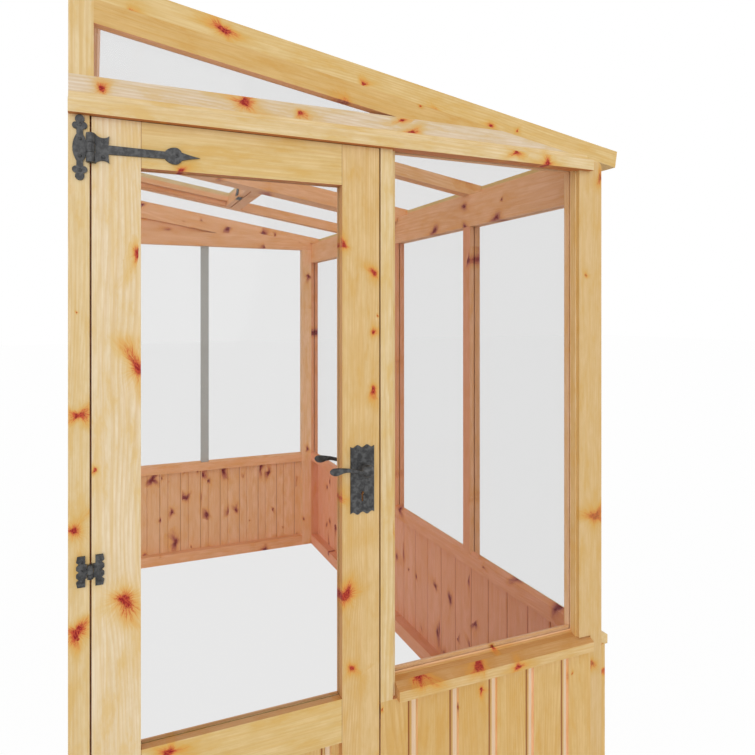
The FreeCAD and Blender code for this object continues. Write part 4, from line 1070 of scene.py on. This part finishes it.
def eased_through(stations, steps):
    """More stations between those given, on a smooth curve through all of them."""
    ends = [stations[0]] + list(stations) + [stations[-1]]
    result = []
    for a, b, c, d in zip(ends, ends[1:], ends[2:], ends[3:]):
        for n in range(steps):
            t = n / steps
            result.append(tuple(0.5 * (
                2 * q + (r - p) * t + (2 * p - 5 * q + 4 * r - s) * t ** 2
                + (3 * q - p - 3 * r + s) * t ** 3) for p, q, r, s in zip(a, b, c, d)))
    return result + [tuple(stations[-1])]


def oval(centre, first, second, sides=24, fullness=2.5):
    """A ring of points, rounder than a box and fuller than an ellipse."""
    ring = []
    for n in range(sides):
        turn = 2 * math.pi * n / sides
        c, s = math.cos(turn), math.sin(turn)
        ring.append(centre + first * math.copysign(abs(c) ** (2 / fullness), c)
                    + second * math.copysign(abs(s) ** (2 / fullness), s))
    return ring


def skinned(name, rings):
    """A closed, smooth object over a row of rings."""
    mesh = bmesh.new()
    rows = [[mesh.verts.new(point) for point in ring] for ring in rings]
    for near, far in zip(rows, rows[1:]):
        for n in range(len(near)):
            mesh.faces.new([near[n - 1], near[n], far[n], far[n - 1]])
    mesh.faces.new(rows[0])
    mesh.faces.new(rows[-1])
    bmesh.ops.recalc_face_normals(mesh, faces=mesh.faces)
    for face in mesh.faces:
        face.smooth = True
    data = bpy.data.meshes.new(name)
    mesh.to_mesh(data)
    mesh.free()
    obj = bpy.data.objects.new(name, data)
    scene.collection.objects.link(obj)
    return obj


print("ready to skin rings")

# %% The levers
SPINDLE = (0.606, 1.055)
DOOR_THICKNESS = 0.035
LEVER_SEAT = 0.0033
LEVER_REACH = 0.090
INNER_LIFT = math.radians(5.0)
# The boss: radius, and way out from the plate.
BOSS_PROFILE = [
    (0.0128, 0.0), (0.0122, 0.003), (0.0114, 0.010), (0.0118, 0.018), (0.0132, 0.0255),
    (0.0139, 0.031), (0.0133, 0.0355), (0.0108, 0.0390), (0.0066, 0.0410), (0.0024, 0.0418)]
# The grip: share of the reach, way out, height, half depth and half height.
GRIP = [
    (-0.02, 0.0330, -0.0040, 0.0052, 0.0050), (0.08, 0.0342, -0.0038, 0.0052, 0.0046),
    (0.18, 0.0348, -0.0016, 0.0050, 0.0042), (0.34, 0.0354, 0.0029, 0.0048, 0.0046),
    (0.50, 0.0355, 0.0063, 0.0045, 0.0045), (0.64, 0.0350, 0.0072, 0.0043, 0.0054),
    (0.82, 0.0340, 0.0056, 0.0040, 0.0086), (0.93, 0.0333, 0.0060, 0.0032, 0.0076),
    (1.00, 0.0328, 0.0065, 0.0010, 0.0028)]


def lever(name, face, outwards, lift):
    """One lever whose boss seats on a plate's face; outwards is -1 at the front, 1 inside."""
    rings = []
    for radius, out in eased_through(BOSS_PROFILE, 3):
        centre = from_corner(SPINDLE[0], face + outwards * out, SPINDLE[1])
        rings.append(oval(centre, Vector((radius, 0, 0)), Vector((0, 0, radius)), fullness=2.0))
    boss = skinned(name, rings)
    rings = []
    for along, out, up, half_depth, half_height in eased_through(GRIP, 6):
        up += along * LEVER_REACH * math.tan(lift)
        centre = from_corner(SPINDLE[0] - along * LEVER_REACH, face + outwards * out,
                             SPINDLE[1] + up)
        rings.append(oval(centre, Vector((0, half_depth, 0)), Vector((0, 0, half_height))))
    grip = skinned(name + "_grip", rings)
    union = boss.modifiers.new("union", "BOOLEAN")
    union.operation = "UNION"
    union.object = grip
    made_real(boss)
    bpy.data.objects.remove(grip)
    return boss


pair = [lever("outer_lever", -LEVER_SEAT, -1, 0.0),
        lever("inner_lever", DOOR_THICKNESS + LEVER_SEAT, 1, INNER_LIFT)]
for obj in pair:
    obj.data.materials.clear()
    obj.data.materials.append(iron)
    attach(obj, "levers")
    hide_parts("door_levers")
    print(obj.name, len(obj.data.polygons), "faces")

# %% [markdown]
# The boarding of the long wall starts with a plain edge at the front corner, not with the
# scooped edge that its other boards show. The copy of the boarding made here is the measured
# one with the first scoop filled out to the face. Moving those few corners is simpler and
# surer than cutting a new board, because everything else stays as measured.

# %% The plain corner edge of the side boarding
SCOOP_END = 0.0165
BOARD_BACK = 1.3085
BOARD_FACE = 1.320
SAME_CORNER = 0.00002
boarding = bmesh.new()
boarding.from_mesh(nodes["side_match_boards"].data)
bmesh.ops.remove_doubles(boarding, verts=boarding.verts, dist=SAME_CORNER)
back, face = CORNER.x + BOARD_BACK, CORNER.x + BOARD_FACE
filled = [v for v in boarding.verts
          if v.co.y < CORNER.y + SCOOP_END and back < v.co.x < face]
for vert in filled:
    vert.co.x = face
bmesh.ops.remove_doubles(boarding, verts=boarding.verts, dist=SAME_CORNER)
bmesh.ops.dissolve_degenerate(boarding, edges=boarding.edges, dist=SAME_CORNER)
side_mesh = bpy.data.meshes.new("side_boarding")
boarding.to_mesh(side_mesh)
boarding.free()
side_mesh.materials.append(nodes["side_match_boards"].data.materials[0])
side_boarding = bpy.data.objects.new("side_boarding", side_mesh)
scene.collection.objects.link(side_boarding)
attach(side_boarding, "frame")
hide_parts("side_match_boards")
print("side boarding", len(side_mesh.polygons), "faces, filled", len(filled), "corners")

# %% [markdown]
